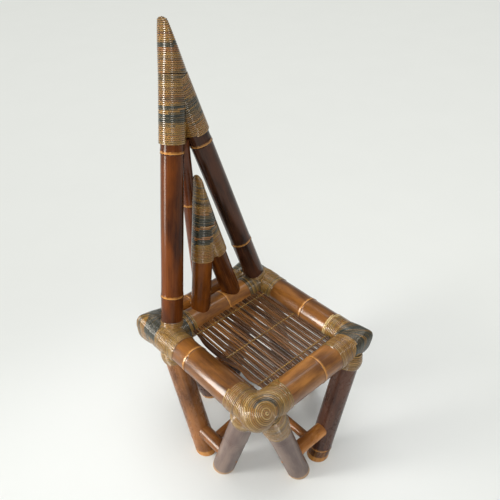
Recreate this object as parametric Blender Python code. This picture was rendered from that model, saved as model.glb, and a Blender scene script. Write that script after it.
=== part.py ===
"""Bamboo chair with a spired back, built as separate poles, a slat mat and cane bindings.

Metres, +Z up, floor at z = 0. The sitter faces -Y; "left" is the -X side.
Every size is named once below and every fit is worked out from those names.
"""
import math

import bmesh
import bpy
from mathutils import Matrix, Vector

# seat frame
SEAT_WIDTH = 0.400          # between the axes of the side rails
SEAT_DEPTH = 0.410          # between the axes of the front and rear rails
RAIL_HEIGHT = 0.394         # floor to the rail axes
RAIL_RADIUS = 0.0435
RAIL_LIP = 0.012            # cross rails stop this far short of the side rail axis
PROP_RAIL_RADIUS = 0.032    # second rear rail, which carries the prop pole
RAIL_NODES = {"left": 0.510, "right": 0.358, "front": 0.57, "rear": 0.555, "prop": 0.389}

# legs, one V on each side of the seat
LEG_RADIUS = 0.035
LEG_TOP_INSET = 0.027       # corner to leg axis along the rail, at rail height
LEG_FOOT_SPREAD = 0.090     # between the axes of a V at the floor
SIDE_LEG_OUTSET = 0.008     # leg planes stand outside the rail axes
END_LEG_OUTSET = 0.017
RIGHT_FOOT_SETBACK = 0.050  # the right V stands this much nearer the rear
LEG_SADDLE = 0.55           # leg tops stop this share of the rail radius below its axis
CULM_WALL = 0.008           # wall of a cut culm
FOOT_BORE = 0.045           # depth of the open culm at a foot
SIDE_LEG_NODES = {"front": 0.60, "rear": 0.16}
END_LEG_NODES = {"left": 0.68, "right": 0.10}
COLLAR_PLACE = 0.84         # top of a leg's collar along the leg

# stretchers
STRETCHER_RADIUS = 0.0225
CROSS_RADIUS = 0.0142
STRETCHER_HEIGHT = 0.086    # side pair; the end pair rides one cross pole higher
PEG_RADIUS = 0.0035
PEG_PROUD = 0.0015
PEG_DEPTH = 0.016           # length of peg inside the stretcher
CROSS_NODES = {"widthwise": 0.30, "lengthwise": 0.62}

# back: two mitred pairs of posts and a prop
POST_RADIUS = 0.0335
POST_INSET = 0.017          # corner to tall post axis at rail height
PEAK_HEIGHT = 1.148         # where the tall post axes meet
PEAK_LEAN = math.radians(9.0)
SMALL_RADIUS = 0.031
SMALL_SPREAD = 0.142        # between the small post axes at rail height
SMALL_PEAK_HEIGHT = 0.712
SMALL_LEAN = math.radians(6.0)
PROP_RADIUS = 0.0205
PROP_BITE = 0.0008          # depth to which the prop is let into the tall posts
PROP_SETBACK = 0.013        # prop axis behind the axis of its rail
POST_NODES = {"left": (0.136, 0.5915), "right": (0.198, 0.588)}
SMALL_NODES = {"left": (0.16,), "right": (0.11,)}
PROP_NODES = (0.653,)

# slat mat
SLATS = 28
SLAT_SHARE = 0.80           # part of the slat pitch that is slat
SLAT_THICK = 0.0040
MAT_RISE = 0.006            # mat middle above the rail axes
MAT_LEFT_GAP = 0.016        # mat to the bindings of the left rail, and of the right
MAT_RIGHT_GAP = 0.001
MAT_TONGUE = 0.012          # slat ends let into the rails
BINDERS = 3
BINDER_SHARE = 0.339        # pitch of the binders over the seat depth
BINDER_WIDTH = 0.0040
BINDER_THICK = 0.0030

# bamboo and cane
SIDES = 16
STAGGER = math.radians(2.6)  # turns a pole so that its facets do not line up with a neighbour's
NODE_RISE = 0.0013
NODE_HALF = 0.006
DOME_STEPS = 4
FIT = 0.0003                # gap left between neighbouring pieces
CANE_THICK = 0.0022
CANE_GAP = 0.0009           # gap between turns, and the least end clearance
CANE_WIDTH = 0.0075
TURN_POINTS = 10
SAG_MARGIN = 1.25
LEAST_SELF_GAP = 0.0004
WELD = 2e-5                 # points nearer than this are one
NUDGE = 1e-4                # step for measuring a skin's slope
PEAK_TURNS = 22
SMALL_PEAK_TURNS = 20
COLLAR_TURNS = 2
RAIL_TURNS = 4
FRONT_TURNS = 5
COIL_TURNS = 3
COIL_TILT = math.radians(45)
SPIRE_EASE = 0.0008         # slack of a spire's binding over its sharp edges
FORK_EASE = 0.06            # room at a fork as a share of the post radius
TIP_BARE = 0.009            # half width of the spire where its binding stops

# where each sits in the frame
HALF_W = SEAT_WIDTH / 2
HALF_D = SEAT_DEPTH / 2
PROP_RAIL_Y = HALF_D + RAIL_RADIUS + PROP_RAIL_RADIUS + FIT
RAIL_END_Y = PROP_RAIL_Y + RAIL_RADIUS
PROP_RAIL_REACH = HALF_W + 2 * RAIL_RADIUS
END_STRETCHER_HEIGHT = STRETCHER_HEIGHT + 2 * CROSS_RADIUS + FIT
HANDS = {"left": -1.0, "right": 1.0}
ENDS = {"front": -1.0, "rear": 1.0}

COLOURS = {
    "bamboo_rail": ((0.34, 0.135, 0.045), 0.30),
    "bamboo_post": ((0.14, 0.040, 0.016), 0.26),
    "bamboo_leg": ((0.23, 0.130, 0.085), 0.34),
    "bamboo_brace": ((0.25, 0.095, 0.030), 0.36),
    "bamboo_slat": ((0.12, 0.046, 0.030), 0.32),
    "cane": ((0.29, 0.195, 0.080), 0.46),
    "peg_wood": ((0.42, 0.230, 0.090), 0.50),
}


def clear_scene():
    for item in list(bpy.data.objects):
        bpy.data.objects.remove(item, do_unlink=True)


def make_materials():
    """One Principled material for each kind of stock."""
    made = {}
    for name, (colour, roughness) in COLOURS.items():
        material = bpy.data.materials.new(name)
        material.use_nodes = True
        shader = material.node_tree.nodes["Principled BSDF"]
        shader.inputs["Base Color"].default_value = (*colour, 1.0)
        shader.inputs["Roughness"].default_value = roughness
        shader.inputs["Metallic"].default_value = 0.0
        made[name] = material
    return made


def solid(name, points, faces, material=None):
    """Mesh object from points and faces, with its faces turned outward."""
    mesh = bpy.data.meshes.new(name)
    mesh.from_pydata([tuple(point) for point in points], [], faces)
    shape = bmesh.new()
    shape.from_mesh(mesh)
    bmesh.ops.recalc_face_normals(shape, faces=shape.faces)
    shape.to_mesh(mesh)
    shape.free()
    item = bpy.data.objects.new(name, mesh)
    bpy.context.scene.collection.objects.link(item)
    if material:
        mesh.materials.append(material)
    return item


def loft(name, rings, material=None):
    """Closed solid through rings of equal point count, capped at both ends."""
    count = len(rings[0])
    points = [point for ring in rings for point in ring]
    faces = [tuple(reversed(range(count)))]
    for step in range(len(rings) - 1):
        low = step * count
        for side in range(count):
            turn = (side + 1) % count
            faces.append((low + side, low + turn, low + count + turn, low + count + side))
    last = len(points) - count
    faces.append(tuple(range(last, len(points))))
    return solid(name, points, faces, material)


def axes_of(direction):
    """Two unit vectors square to a direction, the first level where it can be."""
    if abs(direction.z) < 0.5:
        first = direction.cross(Vector((0, 0, 1))).normalized()
    else:
        first = (Vector((1, 0, 0)) - direction * direction.x).normalized()
    return first, direction.cross(first)


class Pole:
    """A bamboo pole from start to end, with ridges at its nodes and square or level ends."""

    def __init__(self, start, end, radius, nodes=(), level=False, domed=False, stagger=0):
        self.start = Vector(start)
        self.end = Vector(end)
        self.radius = radius
        self.nodes = nodes
        self.level = level
        self.domed = domed
        self.stagger = stagger * STAGGER
        self.length = (self.end - self.start).length
        self.direction = (self.end - self.start).normalized()
        self.first, self.second = axes_of(self.direction)

    def at(self, distance):
        return self.start + self.direction * distance

    def stations(self):
        """Distance and radius of every ring along the pole."""
        rows = [(0.0, self.radius), (self.length, self.radius)]
        for node in self.nodes:
            middle = node * self.length
            rows += [(middle - NODE_HALF, self.radius), (middle, self.radius + NODE_RISE)]
            rows += [(middle + NODE_HALF, self.radius)]
        if self.domed:
            for step in range(1, DOME_STEPS):
                angle = math.pi / 2 * step / DOME_STEPS
                rows.append((-self.radius * math.cos(angle), self.radius * math.sin(angle)))
        return sorted(rows)

    def rings(self, grow):
        """Rings round the pole's own z axis; level ones are slid along it to lie flat."""
        made = []
        for distance, radius in self.stations():
            if self.domed and distance < 0:
                distance *= 1 + grow / self.radius
            ring = []
            for side in range(SIDES):
                angle = self.stagger + 2 * math.pi * side / SIDES
                x = math.cos(angle) * (radius + grow)
                y = math.sin(angle) * (radius + grow)
                slide = 0.0
                if self.level:
                    slide = (self.first.z * x + self.second.z * y) / self.direction.z
                ring.append((x, y, distance - slide))
            made.append(ring)
        return made

    def build(self, name, material=None, grow=0.0):
        """The pole as an object that stands at its start and points along its axis."""
        item = loft(name, self.rings(grow), material)
        turn = Matrix((self.first, self.second, self.direction)).transposed()
        item.location = self.start
        item.rotation_euler = turn.to_euler()
        return item

    def cutter(self):
        """The space this pole needs in a neighbour."""
        return self.build("cutter", grow=FIT)

    def skin(self, angle, distance):
        """Point on the pole's surface, and the point on its axis below it."""
        core = self.at(distance)
        spoke = self.first * math.cos(angle) + self.second * math.sin(angle)
        return core + spoke * self.radius, core


def box(low, high):
    points = [(x, y, z) for x in (low[0], high[0]) for y in (low[1], high[1]) for z in (low[2], high[2])]
    faces = [(0, 1, 3, 2), (4, 6, 7, 5), (0, 4, 5, 1), (2, 3, 7, 6), (0, 2, 6, 4), (1, 5, 7, 3)]
    return solid("cutter", points, faces)


def combine(target, tools, operation):
    """One exact Boolean of target with all the tools; the tools are used up."""
    group = bpy.data.collections.new("tools")
    bpy.context.scene.collection.children.link(group)
    for tool in tools:
        tool.hide_render = True
        tool.display_type = "WIRE"
        group.objects.link(tool)
    step = target.modifiers.new(operation.lower(), "BOOLEAN")
    step.operation = operation
    step.solver = "EXACT"
    step.operand_type = "COLLECTION"
    step.collection = group
    graph = bpy.context.evaluated_depsgraph_get()
    result = bpy.data.meshes.new_from_object(target.evaluated_get(graph))
    target.modifiers.clear()
    target.data = result
    shape = bmesh.new()
    shape.from_mesh(result)
    bmesh.ops.remove_doubles(shape, verts=shape.verts, dist=WELD)
    bmesh.ops.dissolve_degenerate(shape, edges=shape.edges, dist=WELD)
    shape.to_mesh(result)
    shape.free()
    for tool in tools:
        bpy.data.objects.remove(tool, do_unlink=True)
    bpy.data.collections.remove(group)
    return target


def lay_out_poles():
    """Every pole of the chair by node name."""
    poles = {}
    level_z = RAIL_HEIGHT
    for hand, side in HANDS.items():
        start = (side * HALF_W, -HALF_D, level_z)
        end = (side * HALF_W, RAIL_END_Y, level_z)
        poles["rail_" + hand] = Pole(start, end, RAIL_RADIUS, (RAIL_NODES[hand],), domed=True)
    lap = HALF_W - RAIL_LIP
    for place, y, reach, radius in (("front", -HALF_D, lap, RAIL_RADIUS), ("rear", HALF_D, lap, RAIL_RADIUS),
                                    ("prop", PROP_RAIL_Y, PROP_RAIL_REACH, PROP_RAIL_RADIUS)):
        poles["rail_" + place] = Pole((-reach, y, level_z), (reach, y, level_z), radius, (RAIL_NODES[place],))
    top_z = RAIL_HEIGHT - LEG_SADDLE * RAIL_RADIUS
    foot = LEG_FOOT_SPREAD / 2
    setback = {"left": 0.0, "right": RIGHT_FOOT_SETBACK}
    for hand, side in HANDS.items():
        for end_name, end in ENDS.items():
            x = side * (HALF_W + SIDE_LEG_OUTSET)
            poles["leg_%s_%s" % (hand, end_name)] = leg_pole(
                Vector((x, end * foot + setback[hand], 0)),
                Vector((x, end * (HALF_D - LEG_TOP_INSET), RAIL_HEIGHT)), top_z, SIDE_LEG_NODES[end_name])
            y = end * (HALF_D + END_LEG_OUTSET)
            poles["leg_%s_%s" % (end_name, hand)] = leg_pole(
                Vector((side * foot, y, 0)), Vector((side * (HALF_W - LEG_TOP_INSET), y, RAIL_HEIGHT)), top_z,
                END_LEG_NODES[hand])
        poles["stretcher_" + hand] = between_legs(poles, "leg_%s_front" % hand, "leg_%s_rear" % hand,
                                                  STRETCHER_HEIGHT)
    for end_name in ENDS:
        poles["stretcher_" + end_name] = between_legs(
            poles, "leg_%s_left" % end_name, "leg_%s_right" % end_name, END_STRETCHER_HEIGHT)
    for way, ends in (("widthwise", HANDS), ("lengthwise", ENDS)):
        start, end = (poles["stretcher_" + place] for place in ends)
        poles["cross_" + way] = Pole(start.at(start.length / 2), end.at(end.length / 2), CROSS_RADIUS,
                                     (CROSS_NODES[way],), stagger=3)
    for hand, side in HANDS.items():
        poles["post_tall_" + hand] = TALL.post(side, POST_NODES[hand])
        poles["post_small_" + hand] = SMALL.post(side, SMALL_NODES[hand])
    poles["prop_pole"] = prop_pole(poles["post_tall_left"])
    return poles


def leg_pole(foot, aim, top_z, node):
    """A leg from the floor toward its corner, stopped level below the rail axis."""
    end = foot.lerp(aim, top_z / aim.z)
    return Pole(foot, end, LEG_RADIUS, (node,), level=True, stagger=1)


def between_legs(poles, first, second, height):
    """A stretcher from one leg axis to the other at a height."""
    ends = []
    for name in (first, second):
        leg = poles[name]
        ends.append(leg.start.lerp(leg.end, height / leg.end.z))
    return Pole(ends[0], ends[1], STRETCHER_RADIUS, stagger=2)


class Spire:
    """Two posts that lean together and are mitred on the middle plane into one point."""

    def __init__(self, spread, height, lean, radius):
        self.lean = lean
        self.radius = radius
        rise = (height - RAIL_HEIGHT) / math.cos(lean)
        self.slope = math.atan2(spread / 2, rise)
        self.up = Vector((0, math.sin(lean), math.cos(lean)))
        self.out = Vector((0, math.cos(lean), -math.sin(lean)))
        self.meet = Vector((0, HALF_D, RAIL_HEIGHT)) + self.up * rise
        self.rise = rise
        self.tip = radius / math.sin(self.slope)

    def post(self, side, nodes):
        foot = self.meet - self.up * self.rise + Vector((side, 0, 0)) * self.rise * math.tan(self.slope)
        run = (self.meet - foot).normalized()
        stop = self.meet + run * (self.tip + self.radius)
        return Pole(foot, stop, self.radius, nodes, level=True, stagger=1)

    def skin(self, angle, height):
        """Outline of the joined posts, two rounds with a valley that narrow into a lens toward the tip."""
        shift = -height * math.sin(self.slope)
        across = abs(math.cos(angle))
        along = abs(math.sin(angle))
        radius = self.radius + SPIRE_EASE
        reach = shift * across + math.sqrt(max(radius ** 2 - (shift * along) ** 2, 0.0))
        core = self.meet + self.up * height
        flat = Vector((math.cos(angle) * reach / math.cos(self.slope), 0, 0))
        return core + flat + self.out * (math.sin(angle) * reach), core

    def height_at_width(self, half_width):
        return (self.radius - half_width) / math.sin(self.slope)


TALL = Spire(SEAT_WIDTH - 2 * POST_INSET, PEAK_HEIGHT, PEAK_LEAN, POST_RADIUS)
SMALL = Spire(SMALL_SPREAD, SMALL_PEAK_HEIGHT, SMALL_LEAN, SMALL_RADIUS)


def fork_clearance(spire, loops):
    """Heights, from where the axes meet, between which collars fit under the fork."""
    room = 2 * (CANE_THICK + FIT) + spire.radius * FORK_EASE
    top = -(spire.radius + room) / math.sin(spire.slope)
    return top - loops * (CANE_WIDTH + CANE_GAP) - CANE_WIDTH, top


def prop_pole(post):
    """The prop, from the second rear rail up to the backs of the tall posts."""
    low, _ = fork_clearance(TALL, COLLAR_TURNS)
    top = low - PROP_RADIUS
    aside = -top * math.tan(TALL.slope)
    touch = math.sqrt((post.radius + PROP_RADIUS) ** 2 - (aside * math.cos(TALL.slope)) ** 2) - PROP_BITE
    end = TALL.meet + TALL.up * top + TALL.out * touch
    return Pole((0, PROP_RAIL_Y + PROP_SETBACK, RAIL_HEIGHT), end, PROP_RADIUS, PROP_NODES, stagger=2)


def build_frame(poles, stock):
    """Rails, legs, stretchers and posts, each coped to the poles it meets."""
    made = {}
    for hand, side in HANDS.items():
        rail = poles["rail_" + hand].build("rail_" + hand, stock["bamboo_rail"])
        made["rail_" + hand] = combine(rail, [corner_block(side, 1)], "DIFFERENCE")
    for name in ("rail_front", "rail_rear"):
        rail = poles[name].build(name, stock["bamboo_rail"])
        cuts = [poles["rail_" + hand].cutter() for hand in HANDS] + [mat_slot(poles[name])]
        if name == "rail_rear":
            cuts += [wrap_sleeve(poles, "wrap_prop_" + hand) for hand in HANDS]
        made[name] = combine(rail, cuts, "DIFFERENCE")
    rail = poles["rail_prop"].build("rail_prop", stock["bamboo_rail"])
    cuts = [corner_block(side, -1) for side in HANDS.values()] + [poles["rail_rear"].cutter()]
    made["rail_prop"] = combine(rail, cuts, "DIFFERENCE")
    for hand in HANDS:
        for end_name in ENDS:
            for name in ("leg_%s_%s" % (hand, end_name), "leg_%s_%s" % (end_name, hand)):
                leg = poles[name].build(name, stock["bamboo_leg"])
                cuts = [poles["rail_" + hand].cutter(), poles["rail_" + end_name].cutter(),
                        foot_bore(poles[name])]
                cuts.append(wrap_sleeve(poles, "wrap_side_%s_%s" % (end_name, hand)))
                cross = {"front": "wrap_front_", "rear": "wrap_prop_"}[end_name]
                cuts.append(wrap_sleeve(poles, cross + hand))
                made[name] = combine(leg, cuts, "DIFFERENCE")
    for name, ends in stretcher_ends().items():
        bar = poles[name].build(name, stock["bamboo_brace"])
        made[name] = combine(bar, [poles[end].cutter() for end in ends], "DIFFERENCE")
    for name in ("post_tall_left", "post_tall_right", "post_small_left", "post_small_right"):
        hand = name.split("_")[2]
        post = poles[name].build(name, stock["bamboo_post"])
        cuts = [poles["rail_rear"].cutter(), mitre_block(HANDS[hand])]
        if "tall" in name:
            cuts.append(poles["rail_" + hand].cutter())
        made[name] = combine(post, cuts, "DIFFERENCE")
    prop = poles["prop_pole"].build("prop_pole", stock["bamboo_post"])
    cuts = [poles["rail_prop"].cutter(), poles["post_tall_left"].cutter(), poles["post_tall_right"].cutter()]
    made["prop_pole"] = combine(prop, cuts, "DIFFERENCE")
    return made


def foot_bore(leg):
    """The hollow of the culm, open at the foot and closed by its lowest wall."""
    return Pole(leg.at(-LEG_RADIUS), leg.at(FOOT_BORE), LEG_RADIUS - CULM_WALL, level=True).build("cutter")


def rail_wraps(poles):
    """Pole, first and last distance and turns of each binding round a seat rail."""
    pitch = CANE_WIDTH + CANE_GAP
    near = RAIL_RADIUS + CANE_GAP + CANE_WIDTH / 2
    far = near + RAIL_TURNS * pitch
    front = poles["rail_front"]
    start = near - RAIL_LIP
    stop = start + FRONT_TURNS * pitch
    wraps = {}
    for hand in HANDS:
        rail = poles["rail_" + hand]
        wraps["wrap_side_front_" + hand] = (rail, near, far, RAIL_TURNS)
        wraps["wrap_side_rear_" + hand] = (rail, SEAT_DEPTH - far, SEAT_DEPTH - near, RAIL_TURNS)
    wraps["wrap_front_left"] = (front, start, stop, FRONT_TURNS)
    wraps["wrap_front_right"] = (front, front.length - stop, front.length - start, FRONT_TURNS)
    prop = poles["rail_prop"]
    start = PROP_RAIL_REACH - HALF_W + near
    stop = start + RAIL_TURNS * pitch
    wraps["wrap_prop_left"] = (prop, start, stop, RAIL_TURNS)
    wraps["wrap_prop_right"] = (prop, prop.length - stop, prop.length - start, RAIL_TURNS)
    return wraps


def wrap_sleeve(poles, name):
    """The space a rail binding needs in a leg top."""
    rail, first, last, _ = rail_wraps(poles)[name]
    margin = CANE_WIDTH / 2 + CANE_GAP
    outside = (cane_reach(rail.radius) + FIT) / math.cos(math.pi / SIDES)
    return Pole(rail.at(first - margin), rail.at(last + margin), outside).cutter()


def cane_reach(radius):
    """Greatest radius of a binding round a pole."""
    sag = radius * (1 - math.cos(math.pi / TURN_POINTS)) * SAG_MARGIN
    return radius + (FIT + CANE_THICK / 2 + sag) / math.cos(math.pi / TURN_POINTS) + CANE_THICK / 2


def stretcher_ends():
    """The two poles that each stretcher is coped to."""
    ends = {"stretcher_" + hand: ("leg_%s_front" % hand, "leg_%s_rear" % hand) for hand in HANDS}
    for end_name in ENDS:
        ends["stretcher_" + end_name] = ("leg_%s_left" % end_name, "leg_%s_right" % end_name)
    ends["cross_widthwise"] = ("stretcher_left", "stretcher_right")
    ends["cross_lengthwise"] = ("stretcher_front", "stretcher_rear")
    return ends


def mitre_block(side):
    """Everything past the middle plane, for cutting a post on one side."""
    size = 2 * PEAK_HEIGHT
    near = side * FIT / 2
    spans = sorted((near, -side * size))
    return box((spans[0], -size, -size), (spans[1], size, size))


def corner_block(side, toward):
    """One side of the upright plane on which a side rail and the second rear rail are mitred."""
    inner = Vector((side * (HALF_W - RAIL_RADIUS), PROP_RAIL_Y - PROP_RAIL_RADIUS, 0))
    outer = Vector((side * (HALF_W + RAIL_RADIUS), PROP_RAIL_Y + PROP_RAIL_RADIUS, 0))
    size = 2 * RAIL_HEIGHT
    spans = sorted((-toward * side * FIT / 2, toward * side * size))
    block = box((-size, spans[0], 0), (size, spans[1], size))
    block.location = inner
    block.rotation_euler.z = math.atan2(outer.y - inner.y, outer.x - inner.x)
    return block


def mat_sides():
    """Left and right edges of the mat between the bindings of the side rails."""
    clear = HALF_W - cane_reach(RAIL_RADIUS)
    return MAT_LEFT_GAP - clear, clear - MAT_RIGHT_GAP


def mat_half_length():
    """Slats run this far each way, into the slots of the front and rear rails."""
    face = math.sqrt(RAIL_RADIUS ** 2 - MAT_RISE ** 2)
    return HALF_D - face + MAT_TONGUE


def mat_slot(rail):
    """Slot along the inner face of a rail for the ends of the slats."""
    left, right = mat_sides()
    middle = rail.start.z + MAT_RISE
    inward = -1.0 if rail.start.y > 0 else 1.0
    deep = inward * -(mat_half_length() + FIT)
    spans = sorted((deep, inward * -(HALF_D - 2 * RAIL_RADIUS)))
    return box((left - FIT, spans[0], middle - SLAT_THICK / 2 - FIT),
               (right + FIT, spans[1], middle + SLAT_THICK / 2 + FIT))


def build_mat(poles, stock):
    """Slats bound into one mat by thin canes laid across them."""
    middle = RAIL_HEIGHT + MAT_RISE
    half = mat_half_length()
    left, right = mat_sides()
    pitch = (right - left) / (SLATS - 1 + SLAT_SHARE)
    points = []
    faces = []
    for slat in range(SLATS):
        low = left + slat * pitch
        corners = [(x, y, z) for x in (low, low + SLAT_SHARE * pitch) for y in (-half, half)
                   for z in (middle - SLAT_THICK / 2, middle + SLAT_THICK / 2)]
        base = len(points)
        points += corners
        for face in ((0, 1, 3, 2), (4, 6, 7, 5), (0, 4, 5, 1), (2, 3, 7, 6), (0, 2, 6, 4), (1, 5, 7, 3)):
            faces.append(tuple(base + corner for corner in face))
    mat = solid("seat_mat", points, faces, stock["bamboo_slat"])
    binders = []
    inset = SLAT_SHARE * pitch / 4
    for row in range(BINDERS):
        y = (row - (BINDERS - 1) / 2) * BINDER_SHARE * SEAT_DEPTH
        low = middle + SLAT_THICK / 2 - BINDER_THICK / 2
        binders.append(box((left + inset, y - BINDER_WIDTH / 2, low),
                           (right - inset, y + BINDER_WIDTH / 2, low + BINDER_THICK)))
    combine(mat, binders, "UNION")
    return combine(mat, [wrap_sleeve(poles, "wrap_front_" + hand) for hand in HANDS], "DIFFERENCE")


def build_pegs(poles, made, stock):
    """Pegs driven through the legs into the ends of the stretchers."""
    for name, ends in stretcher_ends().items():
        if name.startswith("cross"):
            continue
        bar = poles[name]
        for end, middle, outward in ((ends[0], bar.start, -bar.direction), (ends[1], bar.end, bar.direction)):
            leg = poles[end]
            span = leg.radius / math.sqrt(1 - leg.direction.dot(outward) ** 2)
            head = middle + outward * (span + PEG_PROUD)
            tail = middle - outward * (span + PEG_DEPTH)
            peg = Pole(tail, head, PEG_RADIUS, stagger=1)
            peg.build("peg_" + end[4:], stock["peg_wood"])
            room = Pole(tail - outward * FIT, head + outward * span, PEG_RADIUS + FIT, stagger=1)
            combine(made[end], [room.build("cutter")], "DIFFERENCE")
            combine(made[name], [room.build("cutter")], "DIFFERENCE")


def bind(name, skin, first, last, turns, width, material, opening=math.pi / 2):
    """One unbroken flat cane wound over a skin from one distance to another."""
    steps = turns * TURN_POINTS
    rows = []
    for step in range(steps + 1):
        angle = opening + 2 * math.pi * step / TURN_POINTS
        rows.append((angle, first + (last - first) * step / steps))
    return lay_cane(name, skin, rows, width, material)


def lay_cane(name, skin, rows, width, material):
    """Flat cane along rows of skin coordinates, lifted clear of the skin between its points."""
    places = []
    for angle, distance in rows:
        place, core = skin(angle, distance)
        turn = skin(angle + NUDGE, distance)[0] - skin(angle - NUDGE, distance)[0]
        climb = skin(angle, distance + NUDGE)[0] - skin(angle, distance - NUDGE)[0]
        normal = turn.cross(climb).normalized()
        if normal.dot(place - core) < 0:
            normal.negate()
        places.append((place, normal))
    lifts = []
    for low, high, start, stop in zip(rows, rows[1:], places, places[1:]):
        middle = (start[0] + stop[0]) / 2
        facing = (start[1] + stop[1]).normalized()
        sag = 0.0
        for edge in (-width / 2, 0.0, width / 2):
            crown = skin((low[0] + high[0]) / 2, (low[1] + high[1]) / 2 + edge)[0]
            sag = max(sag, (crown - middle).dot(facing))
        clear = FIT + CANE_THICK / 2 + sag * SAG_MARGIN
        lifts.append(clear / math.cos(start[1].angle(stop[1]) / 2))
    path = []
    for step, (place, normal) in enumerate(places):
        path.append((place + normal * max(lifts[max(step - 1, 0):step + 1]), normal))
    rings = []
    for step, (place, normal) in enumerate(path):
        tangent = (path[min(step + 1, len(path) - 1)][0] - path[max(step - 1, 0)][0]).normalized()
        rise = (normal - tangent * normal.dot(tangent)).normalized()
        aside = tangent.cross(rise)
        rings.append([place + aside * (a * width / 2) + rise * (b * CANE_THICK / 2)
                      for a, b in ((-1, -1), (1, -1), (1, 1), (-1, 1))])
    report_gap(name, rings)
    return loft(name, rings, material)


def report_gap(name, rings):
    """Least distance between neighbouring turns of one cane, measured on its points."""
    least = None
    for step, ring in enumerate(rings):
        for other in range(step + TURN_POINTS - 1, min(step + TURN_POINTS + 2, len(rings))):
            near = min((a - b).length for a in ring for b in rings[other])
            least = near if least is None else min(least, near)
    print("%s: least gap to itself %.2f mm" % (name, least * 1000))
    if least < LEAST_SELF_GAP:
        raise ValueError(name + " touches itself")


def corner_skin(hand):
    """Skin of a front corner: the domed rail end on one half, the front rail on the other."""
    side = HANDS[hand]
    centre = Vector((side * HALF_W, -HALF_D, RAIL_HEIGHT))
    pole = Vector((0, -math.sin(COIL_TILT), math.cos(COIL_TILT)))
    inward = Vector((-side, 0, 0))
    down = pole.cross(inward)

    def skin(angle, distance):
        across = math.cos(angle)
        if across < 0:
            bend = distance / RAIL_RADIUS
            ray = inward * across + down * math.sin(angle)
            return centre + (pole * math.cos(bend) + ray * math.sin(bend)) * RAIL_RADIUS, centre
        bend = distance * math.sin(angle) / RAIL_RADIUS
        core = centre + inward * (distance * across)
        return core + (pole * math.cos(bend) + down * math.sin(bend)) * RAIL_RADIUS, core
    return skin


def build_bindings(poles, stock):
    """Every cane binding, each a single winding."""
    cane = stock["cane"]
    pitch = CANE_WIDTH + CANE_GAP
    for name, spire, turns in (("wrap_peak_tall", TALL, PEAK_TURNS),
                               ("wrap_peak_small", SMALL, SMALL_PEAK_TURNS)):
        low = -spire.tip + 2 * pitch
        high = spire.height_at_width(TIP_BARE)
        width = (high - low) / turns - 2 * CANE_GAP
        bind(name, spire.skin, low, high, turns, width, cane)
    for kind, spire in (("tall", TALL), ("small", SMALL)):
        for hand in HANDS:
            post = poles["post_%s_%s" % (kind, hand)]
            low, high = (spire.rise + height for height in fork_clearance(spire, COLLAR_TURNS))
            low, high = ((place + CANE_WIDTH / 2) / math.cos(spire.slope)
                         for place in (low, high - CANE_WIDTH))
            bind("wrap_%s_%s" % (kind, hand), post.skin, low, high, COLLAR_TURNS, CANE_WIDTH, cane)
    rest = RAIL_RADIUS + CANE_THICK + pitch
    for hand in HANDS:
        post = poles["post_tall_" + hand]
        low = (rest + POST_RADIUS * math.tan(PEAK_LEAN)) / post.direction.z
        low += POST_RADIUS * math.tan(TALL.slope)
        bind("wrap_base_" + hand, post.skin, low, low + COLLAR_TURNS * pitch, COLLAR_TURNS, CANE_WIDTH, cane)
        reach = COIL_TURNS * pitch + CANE_WIDTH
        bind("coil_front_" + hand, corner_skin(hand), CANE_WIDTH, reach, COIL_TURNS, CANE_WIDTH, cane)
    for name, (rail, first, last, turns) in rail_wraps(poles).items():
        bind(name, rail.skin, first, last, turns, CANE_WIDTH, cane)
    for name, pole in poles.items():
        if name.startswith("leg_"):
            high = pole.length * COLLAR_PLACE
            low = high - COLLAR_TURNS * pitch
            bind("collar_" + name[4:], pole.skin, low, high, COLLAR_TURNS, CANE_WIDTH, cane)


def centre_on_floor():
    """Hang every piece on one empty that centres the box of the chair over the origin."""
    bpy.context.view_layer.update()
    items = [item for item in bpy.data.objects if item.type == "MESH"]
    points = [item.matrix_world @ point.co for item in items for point in item.data.vertices]
    chair = bpy.data.objects.new("chair", None)
    bpy.context.scene.collection.objects.link(chair)
    for axis in (0, 1):
        low = min(point[axis] for point in points)
        high = max(point[axis] for point in points)
        chair.location[axis] = -(low + high) / 2
    for item in items:
        item.parent = chair
    print("chair stands at %.5f, %.5f" % (chair.location.x, chair.location.y))


def main():
    clear_scene()
    stock = make_materials()
    poles = lay_out_poles()
    made = build_frame(poles, stock)
    build_mat(poles, stock)
    build_pegs(poles, made, stock)
    build_bindings(poles, stock)
    centre_on_floor()


main()
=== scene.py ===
"""Finished pieces of a bamboo chair with a spired back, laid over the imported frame.

Metres, +Z up, floor at z = 0. The sitter faces -Y; "left" is the -X side.
"""
import math
import random
from contextlib import contextmanager

import bpy
from bpy.props import FloatProperty, FloatVectorProperty, IntProperty, PointerProperty
from mathutils import Matrix, Vector, noise


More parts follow.
